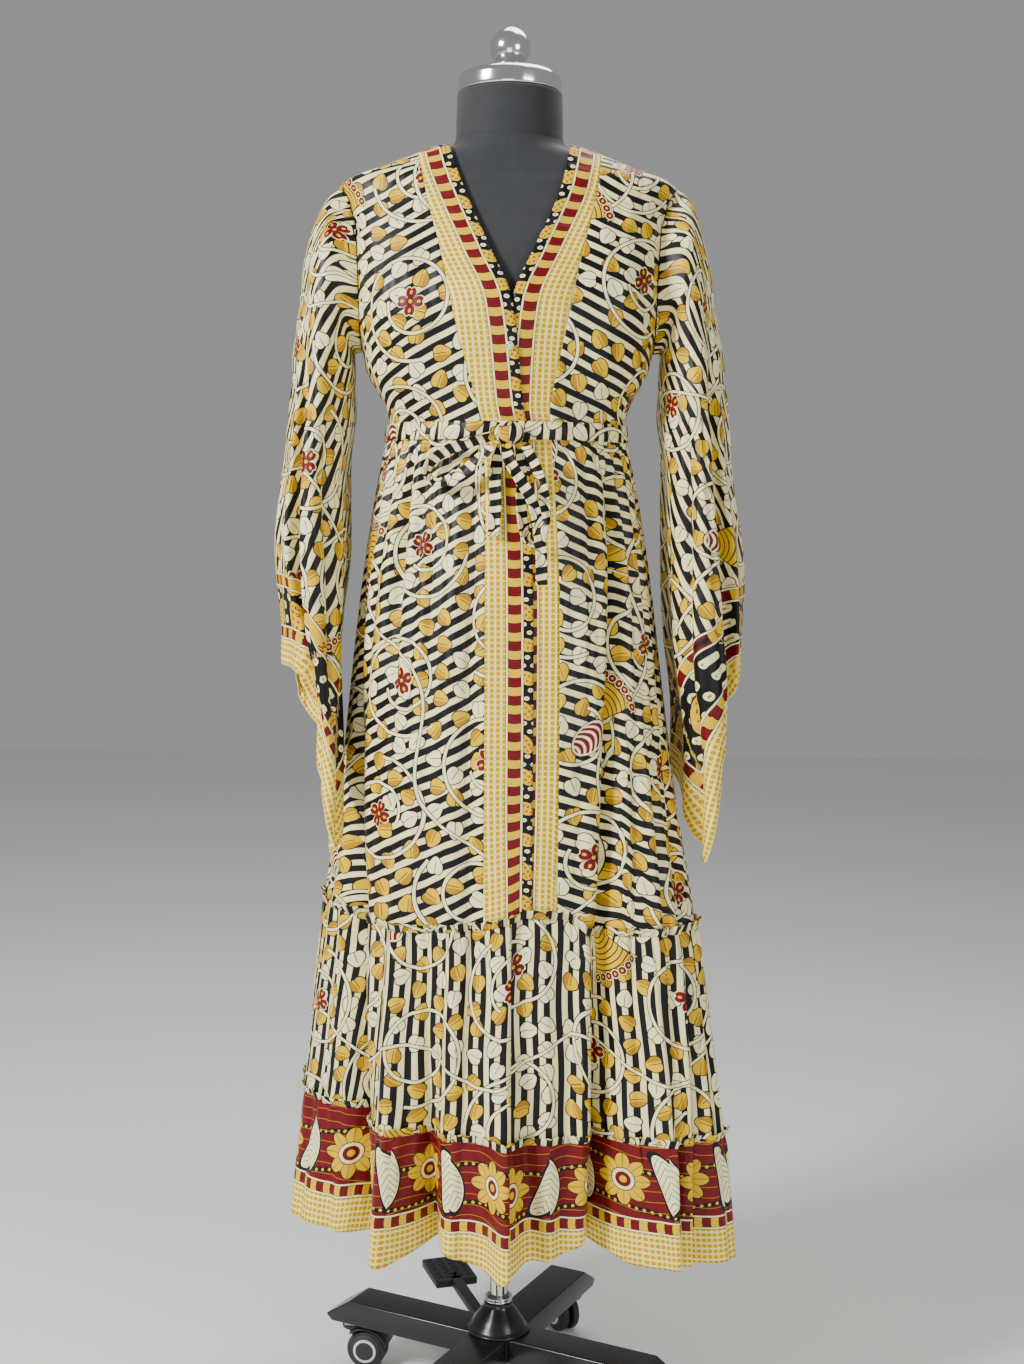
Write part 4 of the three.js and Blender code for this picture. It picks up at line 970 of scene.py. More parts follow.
for name, start, end, columns, surface in (
    ("hem_front_left", at_angle(-90), at_angle(HEM_STEP), 170, on_hem),
    ("hem_front_right", at_angle(-2 * HEM_STEP), at_angle(90), 170, on_right_hem),
    ("hem_back", at_angle(90), at_angle(270), 300, on_hem),
):
    strip(name, BAND, HEM, 30, start, end, columns, surface, SATIN_HEM)

# the gathered edges stand out over their seams as narrow overlocked frills
SATIN_FRILL = satin("satin_frill", turn=90, shift=(75, 5), tone=0.9)
for name, surface, seam_height, waves in (
    ("tier_frill", on_tier, TIER, 118), ("hem_frill", on_hem, BAND, 134),
):
    angles, share = np.arange(960) / 960 * 360, np.linspace(0, 1, 5)[:, None]
    turn = np.radians(angles)
    wave = np.sin(turn * waves + 2.2 * np.sin(turn * 17)) * (0.7 + 0.3 * np.sin(turn * 29))
    out = 1.0 + share * (3.2 + 1.9 * wave)
    points = surface(angles[None, :] + 0 * share, seam_height - 2.0, out)
    points[..., 2] += share * (9.5 + 1.4 * wave)
    if seam_height == TIER:
        points[..., 2] += seam_rise(angles)[None, :]
    points = points[::-1]
    cloth(name, points, ring_uv(points, 2, 7), None, SATIN_FRILL, None, closed=True,
          rests_on=("skirt_back_cloth",))

# ---------------------------------------------------------------- front band
# One folded strip from the tier seam up each front and round the neck, printed as a border.
SATIN_BORDER = satin("satin_border", border=FRONT_BORDER, reach=2000)
skirt_height = np.linspace(WAIST, TIER, 110)[1:]
for side, free_edge, sewn_edge, upper, lower in (
    ("left", LEFT_INNER, LEFT_OUTER, on_bodice, on_skirt),
    ("right", RIGHT_INNER, RIGHT_OUTER, on_right_bodice, on_right_skirt),
):
    free = bodice_edge(free_edge, inner)
    sewn = bodice_edge(sewn_edge, outer)
    free_low = (band_angle(free_edge, skirt_height, level_skirt), skirt_height)
    sewn_low = (band_angle(sewn_edge, skirt_height, level_skirt), skirt_height)
    ends = [(sewn, free), (sewn_low, free_low)] if side == "left" else \
        [(free, sewn), (free_low, sewn_low)]
    points = np.concatenate([
        surface(*panel(start, end, 15)) for surface, (start, end) in zip((upper, lower), ends)
    ])
    turned_to = np.degrees(np.arctan2(points[..., 0], -points[..., 1]))
    points[..., 2] += seam_rise(turned_to) * ease(1 - np.abs(points[..., 2] - TIER) / 200)
    across = running(points, 1)
    if side == "left":
        across = across[:, -1:] - across
    along = running(points, 0).mean(1, keepdims=True)
    border = np.stack([np.broadcast_to(-along, across.shape), across], -1)
    cloth(f"band_{side}_cloth", points, border, border, SATIN_BORDER, f"band_{side}",
          thickness=1.0)

share = np.linspace(0, 1, 61)
low = mix(1478, 1452, 1 - np.abs(2 * share - 1)) + 0.4
angle, drop = mix(90, 270, share)[None, :], np.linspace(0, 1, 12)[:, None]
points = on_bodice(angle + 0 * drop, mix(1487.6, low[None, :], drop))
along = running(points, 1).mean(0, keepdims=True)
border = np.stack([np.broadcast_to(along, points.shape[:2]), running(points, 0)], -1)
cloth("band_neck_cloth", points, border, border, SATIN_BORDER, "band_neck",
      thickness=1.0)

# ---------------------------------------------------------------- sleeves
# Wide bell sleeves, set in at the armhole and cut on a slant, with a printed border at the hem.
SLEEVES = {  # turn from upright to level, centre, height, across, deep, notch, twist
    "left": (
        (11, 193, 1342, 87.7, 60, 0, 0), (20, 202, 1309, 79, 64, 0, 0),
        (31, 207, 1267, 61, 68, 3, 0), (45, 210, 1229, 48.5, 73, 8, 0),
        (68, 214.5, 1175, 38, 78, 14, 0), (90, 221, 1105, 38.5, 82, 20, 2),
        (90, 224, 1020, 42, 86, 24, 6), (90, 227, 930, 37, 90, 22, 14),
        (90, 225, 840, 32, 92, 18, 25),
    ),
    "right": (
        (11, 193.5, 1343, 88, 60, 0, 0), (21, 201, 1304, 74, 64, 0, 0),
        (36, 207, 1257, 56, 68, 3, 0), (55, 212, 1216, 45, 73, 9, 0),
        (79, 217.5, 1162, 39, 78, 16, 0), (90, 222, 1105, 40, 82, 24, 0),
        (90, 228, 1020, 44, 86, 28, 0), (90, 233, 930, 44, 90, 26, 0),
        (90, 238, 840, 38, 90, 22, -4),
    ),
}
SLEEVE_HEMS = {  # round the sleeve: zero outside, 90 in front; then the hem's height
    "left": ((-180, 790), (-150, 800), (-90, 845), (-40, 894), (0, 896), (30, 888), (46, 858),
             (60, 806), (75, 764), (92, 720), (112, 694), (128, 690), (146, 716), (164, 760),
             (180, 790)),
    "right": ((-180, 770), (-150, 785), (-90, 846), (-40, 892), (0, 888), (34, 880), (56, 840),
              (74, 782), (92, 716), (108, 682), (128, 704), (154, 748), (180, 770)),
}
SLEEVE_FOLDS = (  # place round the sleeve, how far it wanders, depth, half width in degrees
    (52, -4, 16, 5), (116, 8, 12, 5), (86, -10, 6, 5), (24, 6, 7, 5), (-62, 5, 14, 6),
    (-105, 6, 8, 6), (-25, -8, 7, 6), (160, -6, 7, 6), (-148, 4, 7, 6),
)
FREE_RINGS, SLEEVE_COLUMNS = 6, 160
turns = np.arange(SLEEVE_COLUMNS) / SLEEVE_COLUMNS * 360
outward, forward = cosine(turns), sine(turns)
for side, sign, turn in (("left", -1, 66), ("right", 1, -66)):
    head_angle, head_height = armhole(turns)
    head = on_bodice(sign * head_angle, head_height) + [sign * 0.9, 0, 0]
    rings = []
    for lean, centre, height, across, deep, notch, twist in SLEEVES[side]:
        front = notch * np.exp(-((apart(turns, 50) / 13) ** 2))
        rear = notch * 0.6 * np.exp(-((apart(turns, -62) / 16) ** 2))
        ripple = notch / 9 * np.cos(np.radians(turns) * 7 + 1)
        wide = (across + ripple) * outward - (front + rear) * 0.55
        depth = (deep + ripple) * forward - (front - rear) * 0.9
        tilt = math.radians(lean)
        aside = centre + wide * math.sin(tilt) - twist * forward
        rings.append(np.stack([sign * aside, -depth, height + wide * math.cos(tilt)], -1))
    hem = read_table(SLEEVE_HEMS[side], (turns + 180) % 360 - 180)[0]
    elbow = rings[FREE_RINGS - 1]
    sections = [head, *rings[:FREE_RINGS]]
    for step, ring in enumerate((6, 7, 8, 8)):
        slanted = rings[ring].copy()
        slanted[:, 2] = mix(elbow[:, 2], hem, (step + 1) / 4)
        sections.append(slanted)
    sections = np.array(sections)
    marks = np.column_stack([np.arange(len(sections)), sections.reshape(len(sections), -1)])
    steps = np.linspace(0, len(sections) - 1, 150)
    points = np.stack(read_table(marks, steps), -1).reshape(150, SLEEVE_COLUMNS, 3)
    # soft creases: across the elbow and down from the armhole
    down = running(points, 0)
    body = np.exp(-(((steps[:, None] - 4.2) / 1.6) ** 2))
    push = body * np.sin(down / 15 + np.radians(turns)[None, :] * 2.4) * 1.3
    push = push + np.sin(np.radians(turns)[None, :] * 9 + down / 160) * 1.6 * ease(down / 300)
    for at, lean, deep, wide in SLEEVE_FOLDS:
        middle = at + lean * (down / 500) + 2.5 * np.sin(down / 85 + at)
        away = apart(turns[None, :], middle)
        push = push - deep * np.exp(-np.sqrt((away / wide) ** 2 + 0.04)) * ease((down - 90) / 200)
    push = push + 0.8 * np.cos(np.radians(turns)[None, :] * 14) * np.exp(-down / 22) * ease(down / 8)
    round_it = np.roll(points, -1, 1) - np.roll(points, 1, 1)
    normal = unit(np.cross(np.gradient(points, axis=0), round_it))
    points = points - normal * sign * push[..., None]
    if sign > 0:
        points = np.concatenate([points[:, :1], points[:, :0:-1]], 1)
    # the print lies square to the sleeve's length; its border follows the slanted hem
    seam = closed_round(points)
    elbow_row = int(round(FREE_RINGS / (len(sections) - 1) * (len(steps) - 1)))
    along = running(seam, 0)
    along = along - along[elbow_row]
    around = running(seam, 1)[elbow_row][None, :] + 0 * along
    uv = np.stack([around, -along], -1)
    width = around[0, -1]
    hem_length = running(seam[-1:, :], 1)[0]
    from_hem, along_hem = np.full(along.shape, 1e6), np.zeros(along.shape)
    for turn_round in (-width, 0, width):
        for column in range(SLEEVE_COLUMNS):
            start_x, end_x = around[0, column] + turn_round, around[0, column + 1] + turn_round
            start_y, end_y = along[-1, column], along[-1, column + 1]
            edge_x, edge_y = end_x - start_x, end_y - start_y
            share = (around - start_x) * edge_x + (along - start_y) * edge_y
            share = np.clip(share / (edge_x**2 + edge_y**2), 0, 1)
            away = np.hypot(around - start_x - share * edge_x, along - start_y - share * edge_y)
            at = mix(hem_length[column], hem_length[column + 1], share)
            along_hem = np.where(away < from_hem, at, along_hem)
            from_hem = np.minimum(from_hem, away)
    edge = np.stack([along_hem, from_hem], -1)
    material = satin(f"satin_sleeve_{side}", turn, (70, 33), CUFF_BORDER, 110)
    cloth(f"sleeve_{side}_cloth", points, uv, edge, material, f"sleeve_{side}", closed=True,
          rests_on=("bodice_back_cloth",))

# ---------------------------------------------------------------- belt and bow
# A flat tie of the same satin round the waist, knotted in front with two loops and two ends.
SATIN_TIE = satin("satin_tie", turn=84, shift=(15, 70))
BELT_COLUMNS = 240
angles = np.arange(BELT_COLUMNS) / BELT_COLUMNS * 360
BELT_TOP, BELT_BOTTOM = 1177.0, 1157.0
upper, lower = on_bodice(angles, BELT_TOP), on_skirt(angles, BELT_BOTTOM)
belt_rows = []
for height in np.linspace(BELT_TOP, BELT_BOTTOM, 9):
    share = (BELT_TOP - height) / (BELT_TOP - BELT_BOTTOM)
    ring = mix(upper, lower, share) + np.stack(
        [sine(angles), -cosine(angles), 0 * angles], -1
    ) * (mix(3.2, 2.4, share) + math.sin(share * math.pi) * 0.9)
    ring[:, 2] = height + 0.9 * np.sin(np.radians(angles) * 3 + 1) * (1 - abs(2 * share - 1))
    belt_rows.append(ring)
points = np.array(belt_rows)
uv = ring_uv(points, 4, BELT_TOP - BELT_BOTTOM)
cloth("belt_cloth", points, uv, None, SATIN_TIE, "belt", closed=True, thickness=1.2)

RIBBONS = {  # across, up, off the skirt, how flat it lies
    "belt_loop_left": ((-13.9, 1161, 16, 0.5), (-34, 1155, 16, 0.6), (-62, 1146, 16, 0.7),
                       (-82, 1133, 17, 0.6), (-88, 1118, 18, 0.4), (-74, 1108, 20, 0.5),
                       (-50, 1118, 22, 0.7), (-28, 1136, 24, 0.6), (-15, 1148, 24, 0.5)),
    "belt_loop_right": ((12, 1151.8, 15, 0.5), (17, 1120, 14, 0.6), (17, 1085, 14, 0.7),
                        (21, 1052, 14, 0.5), (31, 1041, 15, 0.3), (42, 1052, 17, 0.5),
                        (43, 1090, 19, 0.7), (34, 1125, 22, 0.6), (21, 1151, 24, 0.5)),
    "belt_end_left": ((-5, 1150.4, 11.5, 0.7), (-10, 1132, 9, 0.9), (-12, 1110, 8, 1),
                      (-11, 1085, 8, 1), (-13, 1050, 7.5, 1)),
    "belt_end_right": ((-0.5, 1150.9, 17, 0.9), (4, 1132, 26.5, 0.9), (30, 1085, 29, 0.7),
                       (39, 1035, 26, 0.8), (40, 998, 17, 0.9)),
}
RIBBON_HALF = 6.5
for name, table in RIBBONS.items():
    table = np.array(table)
    half, front = read_table(SKIRT, table[:, 1])[:2]
    ahead = front * np.sqrt(1 - (table[:, 0] / half) ** 2) + table[:, 2]
    marks = np.column_stack([np.arange(len(table)), table[:, 0], -ahead, table[:, 1], table[:, 3]])
    steps = np.linspace(0, len(table) - 1, 70)
    x, y, z, flat = read_table(marks, steps)
    path = np.stack([x, y, z], -1)
    tangent = unit(np.gradient(path, axis=0))
    forwards = np.array([0, -1.0, 0])
    edge = unit(np.cross(tangent, forwards)) * flat[:, None] + forwards * (1 - flat[:, None])
    edge = unit(edge - tangent * (edge * tangent).sum(-1, keepdims=True))
    normal = unit(np.cross(tangent, edge))
    across = np.linspace(-RIBBON_HALF, RIBBON_HALF, 9)
    curl = (np.cos(across / RIBBON_HALF * 2.2) * 0.8)[None, :, None] * normal[:, None]
    points = path[:, None] + edge[:, None] * across[None, :, None] + curl
    along = running(points, 0).mean(1, keepdims=True)
    uv = np.stack([along + 0 * points[..., 0], across + 0 * points[..., 0]], -1)
    cloth(f"{name}_cloth", points, uv, None, SATIN_TIE, name, rests_on=("belt_knot_cloth",),
          thickness=1.2)

# the knot: a short length wound over itself
low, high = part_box("belt_knot")
centre, size = (low + high) / 2, (high - low) / 2
theta, phi = np.meshgrid(np.linspace(0.02, math.pi - 0.02, 30), np.arange(48) / 48 * math.tau,
                         indexing="ij")
swell = 1 - 0.09 * np.abs(np.cos(phi * 2.5 + theta * 1.6)) ** 3 - 0.03 * np.sin(phi * 9)
ball = np.stack([np.sin(theta) * np.sin(phi), -np.sin(theta) * np.cos(phi), np.cos(theta)], -1)
points = (ball * swell[..., None] * np.array(size) + np.array(centre)) / MM
points = points - [POLE.x / MM, POLE.y / MM, 0]
cloth("belt_knot_cloth", points, ring_uv(points, 15, 0), None, SATIN_TIE, "belt_knot", closed=True,
      rests_on=("belt_cloth",))

# ---------------------------------------------------------------- snap
# A small metal press stud sewn on the left band where the fronts cross: a domed cap in a rim.
def plain_material(name, colour, roughness, metallic=0.0, grain=240, bump=0.08, spots=0.0):
    """Metal, paint or plastic: its roughness is a little uneven, and its surface has a fine grain."""
    material, tree, shader = new_material(name)
    place = tree.nodes.new("ShaderNodeTexCoord").outputs["Object"]
    fine, wide = noise_value(tree, place, grain, 4), noise_value(tree, place, 22, 3)
    worn = (wide * 1.6 - 1.05).most(0) * spots
    fill(shader, {
        "Base Color": lay(tree, colour, worn, tuple(min(1, part * 1.8 + 0.03) for part in colour)),
        "Roughness": (wide - 0.5) * 0.22 + (fine - 0.5) * 0.1 + roughness,
        "Normal": bumped(tree, fine, bump, 0.0005), "Metallic": metallic,
    })
    return material


def hard_piece(name, mesh, material, body, node, sharp=38):
    """A rigid piece: its edges stay sharp where they turn by more than so many degrees."""
    mesh.polygons.foreach_set("use_smooth", [True] * len(mesh.polygons))
    mesh.set_sharp_from_angle(angle=math.radians(sharp))
    mesh.materials.append(material)
    piece = bpy.data.objects.new(name, mesh)
    bpy.context.collection.objects.link(piece)
    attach(piece, body)
    if node:
        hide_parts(node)
    return piece


def turned_mesh(name, outline, sides=96, place=None):
    """A lathe-turned body; the outline is radius and height in millimetres. A radius of zero is
    a point on the axis. Without one at both ends the outline closes on itself."""
    place = place or Matrix.Translation((POLE.x, POLE.y, 0))
    rings, vertices, faces = [], [], []
    for radius, height in outline:
        if radius < 0.01:
            rings.append([len(vertices)])
            vertices.append((0, 0, height))
            continue
        rings.append(list(range(len(vertices), len(vertices) + sides)))
        for k in range(sides):
            angle = k / sides * math.tau
            vertices.append((radius * math.cos(angle), radius * math.sin(angle), height))
    pairs = list(zip(rings, rings[1:]))
    if len(rings[0]) > 1 and len(rings[-1]) > 1:
        pairs.append((rings[-1], rings[0]))
    for one, two in pairs:
        for k in range(sides):
            after = (k + 1) % sides
            corners = [one[k % len(one)], one[after % len(one)], two[after % len(two)],
                       two[k % len(two)]]
            faces.append(list(dict.fromkeys(corners)))
    mesh = bpy.data.meshes.new(name)
    mesh.from_pydata([tuple(part * MM for part in corner) for corner in vertices], [], faces)
    mesh.transform(place)
    return mesh


def rounded(outline, radius, steps=4):
    """The outline with its inner corners rounded, within a third of the shorter side."""
    result = [outline[0]]
    for before, corner, after in zip(outline, outline[1:], outline[2:]):
        before, corner, after = map(np.array, (before, corner, after))
        to_before, to_after = before - corner, after - corner
        cut = min(radius, np.linalg.norm(to_before) / 2.2, np.linalg.norm(to_after) / 2.2)
        start = corner + to_before / np.linalg.norm(to_before) * cut
        end = corner + to_after / np.linalg.norm(to_after) * cut
        for share in np.linspace(0, 1, steps):
            result.append(tuple(mix(mix(start, corner, share), mix(corner, end, share), share)))
    result.append(outline[-1])
    return result


def turned_piece(name, outline, material, body, node, sharp=38):
    return hard_piece(name, turned_mesh(name, outline), material, body, node, sharp)


def height_range(node):
    """Where a part of the frame begins and ends in height, in millimetres."""
    return [corner.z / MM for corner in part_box(node)]


CHROME = plain_material("chrome", (0.78, 0.79, 0.8), 0.13, 1.0, 400, 0.03)
low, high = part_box("snap")
snap_centre = (low + high) / 2
seat, ahead = on_bodice(1.4, 1262.0), on_bodice(1.4, 1262.0, 5.0)
facing = unit(ahead - seat)
turn_to = Matrix.Translation(snap_centre) @ Matrix(
    np.column_stack([[1, 0, 0], np.cross(facing, [1, 0, 0]), facing]).tolist()
).to_4x4()
hard_piece("snap_stud", turned_mesh("snap_stud", [
    (0, -1), (4.3, -1), (4.6, -0.6), (4.5, -0.1), (3.7, 0.1), (3.3, 0.0), (2.9, 0.6), (1.8, 1.0),
    (0.9, 1.1), (0, 1.1),
], 40, turn_to), CHROME, "form", "snap", 60)

# ---------------------------------------------------------------- form
# A hard torso padded and covered in black jersey, seamed down its front, sides and back and at
# the base of the neck, with a turned metal cap and ball on the neck and a steel plate below.
jersey, tree, shader = new_material("black_jersey")
place = tree.nodes.new("ShaderNodeTexCoord").outputs["Object"]
parts = add_node(tree, "SeparateXYZ", {0: place})
across, depth, height = (Value(tree, out) * 1000 for out in parts.outputs)
around = angle_of(across - POLE.x * 1000, depth - POLE.y * 1000) * 62
knit = (around * 5.6).sin() * 0.5 + (height * 5.2).sin() * 0.5
fuzz = noise_value(tree, place, 60, 4)
fill(shader, {
    "Base Color": lay(tree, (0.011, 0.012, 0.014), fuzz, (0.024, 0.025, 0.028)),
    "Normal": bumped(tree, knit * 0.4 + fuzz * 1.3, 0.35, 0.0006),
    "Roughness": 0.82, "Sheen Weight": 0.25, "Sheen Roughness": 0.5,
})

FORM_BOTTOM, NECK_TOP = 800.0, 1551.0
FORM_COLUMNS = 160
heights = np.concatenate([
    np.linspace(FORM_BOTTOM, 1430, 106), np.linspace(1433, 1505, 37), np.linspace(1508, NECK_TOP, 16)
])
angles = np.arange(FORM_COLUMNS) / FORM_COLUMNS * 360
rings = on_form(angles[None, :], heights[:, None])
outwards = unit(rings * [1, 1, 0])
seam_dip = 0.8 * np.exp(-(((heights - 1497) / 1.6) ** 2))[:, None] * np.ones(FORM_COLUMNS)
for seam in (0, 62, 118, 180, 242, 298):
    away = apart(angles, seam) * 2.2
    seam_dip = seam_dip + 0.6 * np.exp(-((away / 1.6) ** 2))[None, :] * (heights < 1494)[:, None]
rings = rings - outwards * seam_dip[..., None]
rolled = []
for inset, rise, ring in ((26, 0.0, 0), (6, 0.0, 0), (1.6, 0.5, 0)):
    rolled.append(rings[ring] - outwards[ring] * inset + [0, 0, rise])
top = [rings[-1] - outwards[-1] * inset + [0, 0, rise] for inset, rise in ((0.7, 0), (6, 0), (30, 0))]
rings[-1] += [0, 0, -0.7]
rings[0] += [0, 0, 2.0]
stack = np.array([*rolled, *rings, *top])
rows = len(stack)
vertices = np.concatenate([stack.reshape(-1, 3), [[0, 0, FORM_BOTTOM], [0, 0, NECK_TOP]]])
faces = []
for i in range(rows - 1):
    for j in range(FORM_COLUMNS):
        after = (j + 1) % FORM_COLUMNS
        faces.append((i * FORM_COLUMNS + j, i * FORM_COLUMNS + after,
                      (i + 1) * FORM_COLUMNS + after, (i + 1) * FORM_COLUMNS + j))
for j in range(FORM_COLUMNS):
    after, last = (j + 1) % FORM_COLUMNS, (rows - 1) * FORM_COLUMNS
    faces.append((after, j, len(vertices) - 2))
    faces.append((last + j, last + after, len(vertices) - 1))
torso_mesh = bpy.data.meshes.new("form_cover")
torso_mesh.from_pydata((vertices * MM + [POLE.x, POLE.y, 0]).tolist(), [], faces)
hard_piece("form_cover", torso_mesh, jersey, "form", "torso", 60)

cap_low, cap_high = height_range("neck_cap")
cap_outline = rounded([
    (0, cap_low), (59, cap_low), (59, cap_low + 17), (55, cap_low + 22), (38, cap_high - 4),
    (16, cap_high), (0, cap_high),
], 5, 6)
turned_piece("neck_cap_turned", cap_outline, CHROME, "form", "neck_cap", 50)
ball_low, ball_high = height_range("cap_ball")
BALL_RADIUS, BALL_SEAT = 23.5, 14
ball_centre = ball_high - BALL_RADIUS
start = -math.acos(BALL_SEAT / BALL_RADIUS)
ball_outline = [(0, ball_low), (BALL_SEAT, ball_low)] + [
    (BALL_RADIUS * math.cos(turn), ball_centre + BALL_RADIUS * math.sin(turn))
    for turn in np.linspace(start, math.pi / 2 - 0.05, 26)
] + [(0, ball_high)]
turned_piece("cap_ball_turned", ball_outline, CHROME, "form", "cap_ball", 50)

BLACK_PAINT = plain_material("black_paint", (0.012, 0.012, 0.013), 0.24, 0.0, 520, 0.05, 0.5)
plate_low, plate_high = height_range("form_plate")
turned_piece("form_plate_turned", rounded([
    (0, plate_low), (60, plate_low), (60, plate_high), (0, plate_high),
], 1.2), BLACK_PAINT, "form", "form_plate")

# ---------------------------------------------------------------- pole
# A chromed tube carries the form and slides on a chromed rod; two wire rings lie on the hub.
tube_bottom, tube_top = height_range("pole_tube")
TUBE_BORE, TUBE_RADIUS = 11.3, 12.5
turned_piece("pole_tube_drawn", [
    (TUBE_BORE, tube_bottom), (TUBE_RADIUS + 0.7, tube_bottom), (TUBE_RADIUS + 1, tube_bottom + 0.4),
    (TUBE_RADIUS + 1, tube_bottom + 3.4), (TUBE_RADIUS, tube_bottom + 4), (TUBE_RADIUS, tube_top),
    (TUBE_BORE, tube_top),
], CHROME, "lift", "pole_tube")
rod_bottom, rod_top = height_range("pole_rod")
turned_piece("pole_rod_drawn", rounded([
    (0, rod_bottom), (11, rod_bottom), (11, rod_top), (0, rod_top),
], 1), CHROME, "base", "pole_rod")
for number in (1, 2):
    low, high = height_range(f"pole_ring_{number}")
    wire, middle = (high - low) / 2, (high + low) / 2
    ring_outline = [
        (15.2 + wire * math.cos(turn), middle + wire * math.sin(turn))
        for turn in np.arange(16) / 16 * math.tau
    ]
    turned_piece(f"pole_ring_{number}_wire", ring_outline, CHROME, "base",
                 f"pole_ring_{number}", 80)

# ---------------------------------------------------------------- base
# Four legs of painted steel box, cut on a slant at their tips, welded to a block under a turned
# bell. Paint is thick and glossy.
LEG_TOP, LEG_BOTTOM, LEG_WIDTH, LEG_REACH, LEG_SLOPE, LEG_START = 92, 62, 50, 232, 34, 25.3
LEG_ANGLES = (63, 153, 243, 333)


def upright_mesh(name, outline, thickness, place, bevel=1.2, segments=3):
    """A plate cut to an outline of reach and height, with its edges rounded over."""
    mesh = bpy.data.meshes.new(name)
    form = bmesh.new()
    side = [form.verts.new((reach * MM, -thickness / 2 * MM, height * MM)) for reach, height in outline]
    form.faces.new(side)
    extruded = bmesh.ops.extrude_face_region(form, geom=form.faces[:])
    moved = [part for part in extruded["geom"] if isinstance(part, bmesh.types.BMVert)]
    bmesh.ops.translate(form, verts=moved, vec=(0, thickness * MM, 0))
    bmesh.ops.recalc_face_normals(form, faces=form.faces[:])
    if bevel:
        edges = [edge for edge in form.edges if edge.calc_face_angle(0) > 0.35]
        bmesh.ops.bevel(form, geom=edges, offset=bevel * MM, segments=segments, profile=0.5,
                        affect="EDGES", clamp_overlap=True)
    form.to_mesh(mesh)
    form.free()
    mesh.transform(place)
    return mesh


def joined_mesh(name, meshes):
    form = bmesh.new()
    for mesh in meshes:
        form.from_mesh(mesh)
    result = bpy.data.meshes.new(name)
    form.to_mesh(result)
    form.free()
    return result


def towards(angle):
    """A place at the pole, turned to face that many degrees round."""
    return Matrix.Translation((POLE.x, POLE.y, 0)) @ Matrix.Rotation(math.radians(angle), 4, "Z")


hub_top = height_range("hub")[1]
bell = turned_mesh("hub_bell", rounded([
    (0, LEG_TOP + 0.3), (38, LEG_TOP + 0.3), (38, LEG_TOP + 2.3), (35, 97), (29, 107), (21, 118),
    (17.7, hub_top - 4), (17.2, hub_top), (0, hub_top),
], 5, 6))
block = upright_mesh("hub_block", [
    (-25, LEG_BOTTOM), (25, LEG_BOTTOM), (25, LEG_TOP), (-25, LEG_TOP),
], LEG_WIDTH, towards(LEG_ANGLES[0]), 0.8)
hard_piece("hub_cast", joined_mesh("hub_cast", [bell, block]), BLACK_PAINT, "base", "hub",
           50)
for number, angle in enumerate(LEG_ANGLES, 1):
    leg = upright_mesh(f"leg_{number}_box", [
        (LEG_START, LEG_BOTTOM), (LEG_REACH - 8, LEG_BOTTOM), (LEG_REACH, LEG_BOTTOM + 8),
        (LEG_REACH - LEG_SLOPE, LEG_TOP), (LEG_START, LEG_TOP),
    ], LEG_WIDTH, towards(angle), 2.2, 4)
    hard_piece(f"leg_{number}_box", leg, BLACK_PAINT, "base", f"leg_{number}", 50)

# ---------------------------------------------------------------- casters
# Twin-wheel casters: a moulded body with a domed cover over each wheel, a pale ring pressed on
# the cover, a swivel head with a plated nut under the leg, and a ball race between.
STEM_AT, TRAIL, WHEEL_RADIUS, WHEEL_WIDTH, WHEEL_GAP, WEB = 205, 18, 25, 13, 3.4, 6
AXLE_HEIGHT = WHEEL_RADIUS * math.cos(math.pi / 16)
TRAILS_TO = (120, -12, 205, 20)
BLACK_PLASTIC = plain_material("black_plastic", (0.016, 0.016, 0.018), 0.4, 0.0, 700, 0.12, 0.35)
BLACK_RUBBER = plain_material("black_rubber", (0.022, 0.022, 0.023), 0.62, 0.0, 500, 0.2, 0.5)
RING_PAINT = plain_material("ring_paint", (0.62, 0.62, 0.6), 0.4, 0.0, 500, 0.08, 0.2)
PLATED = plain_material("plated_steel", (0.55, 0.55, 0.54), 0.28, 1.0, 500, 0.06)
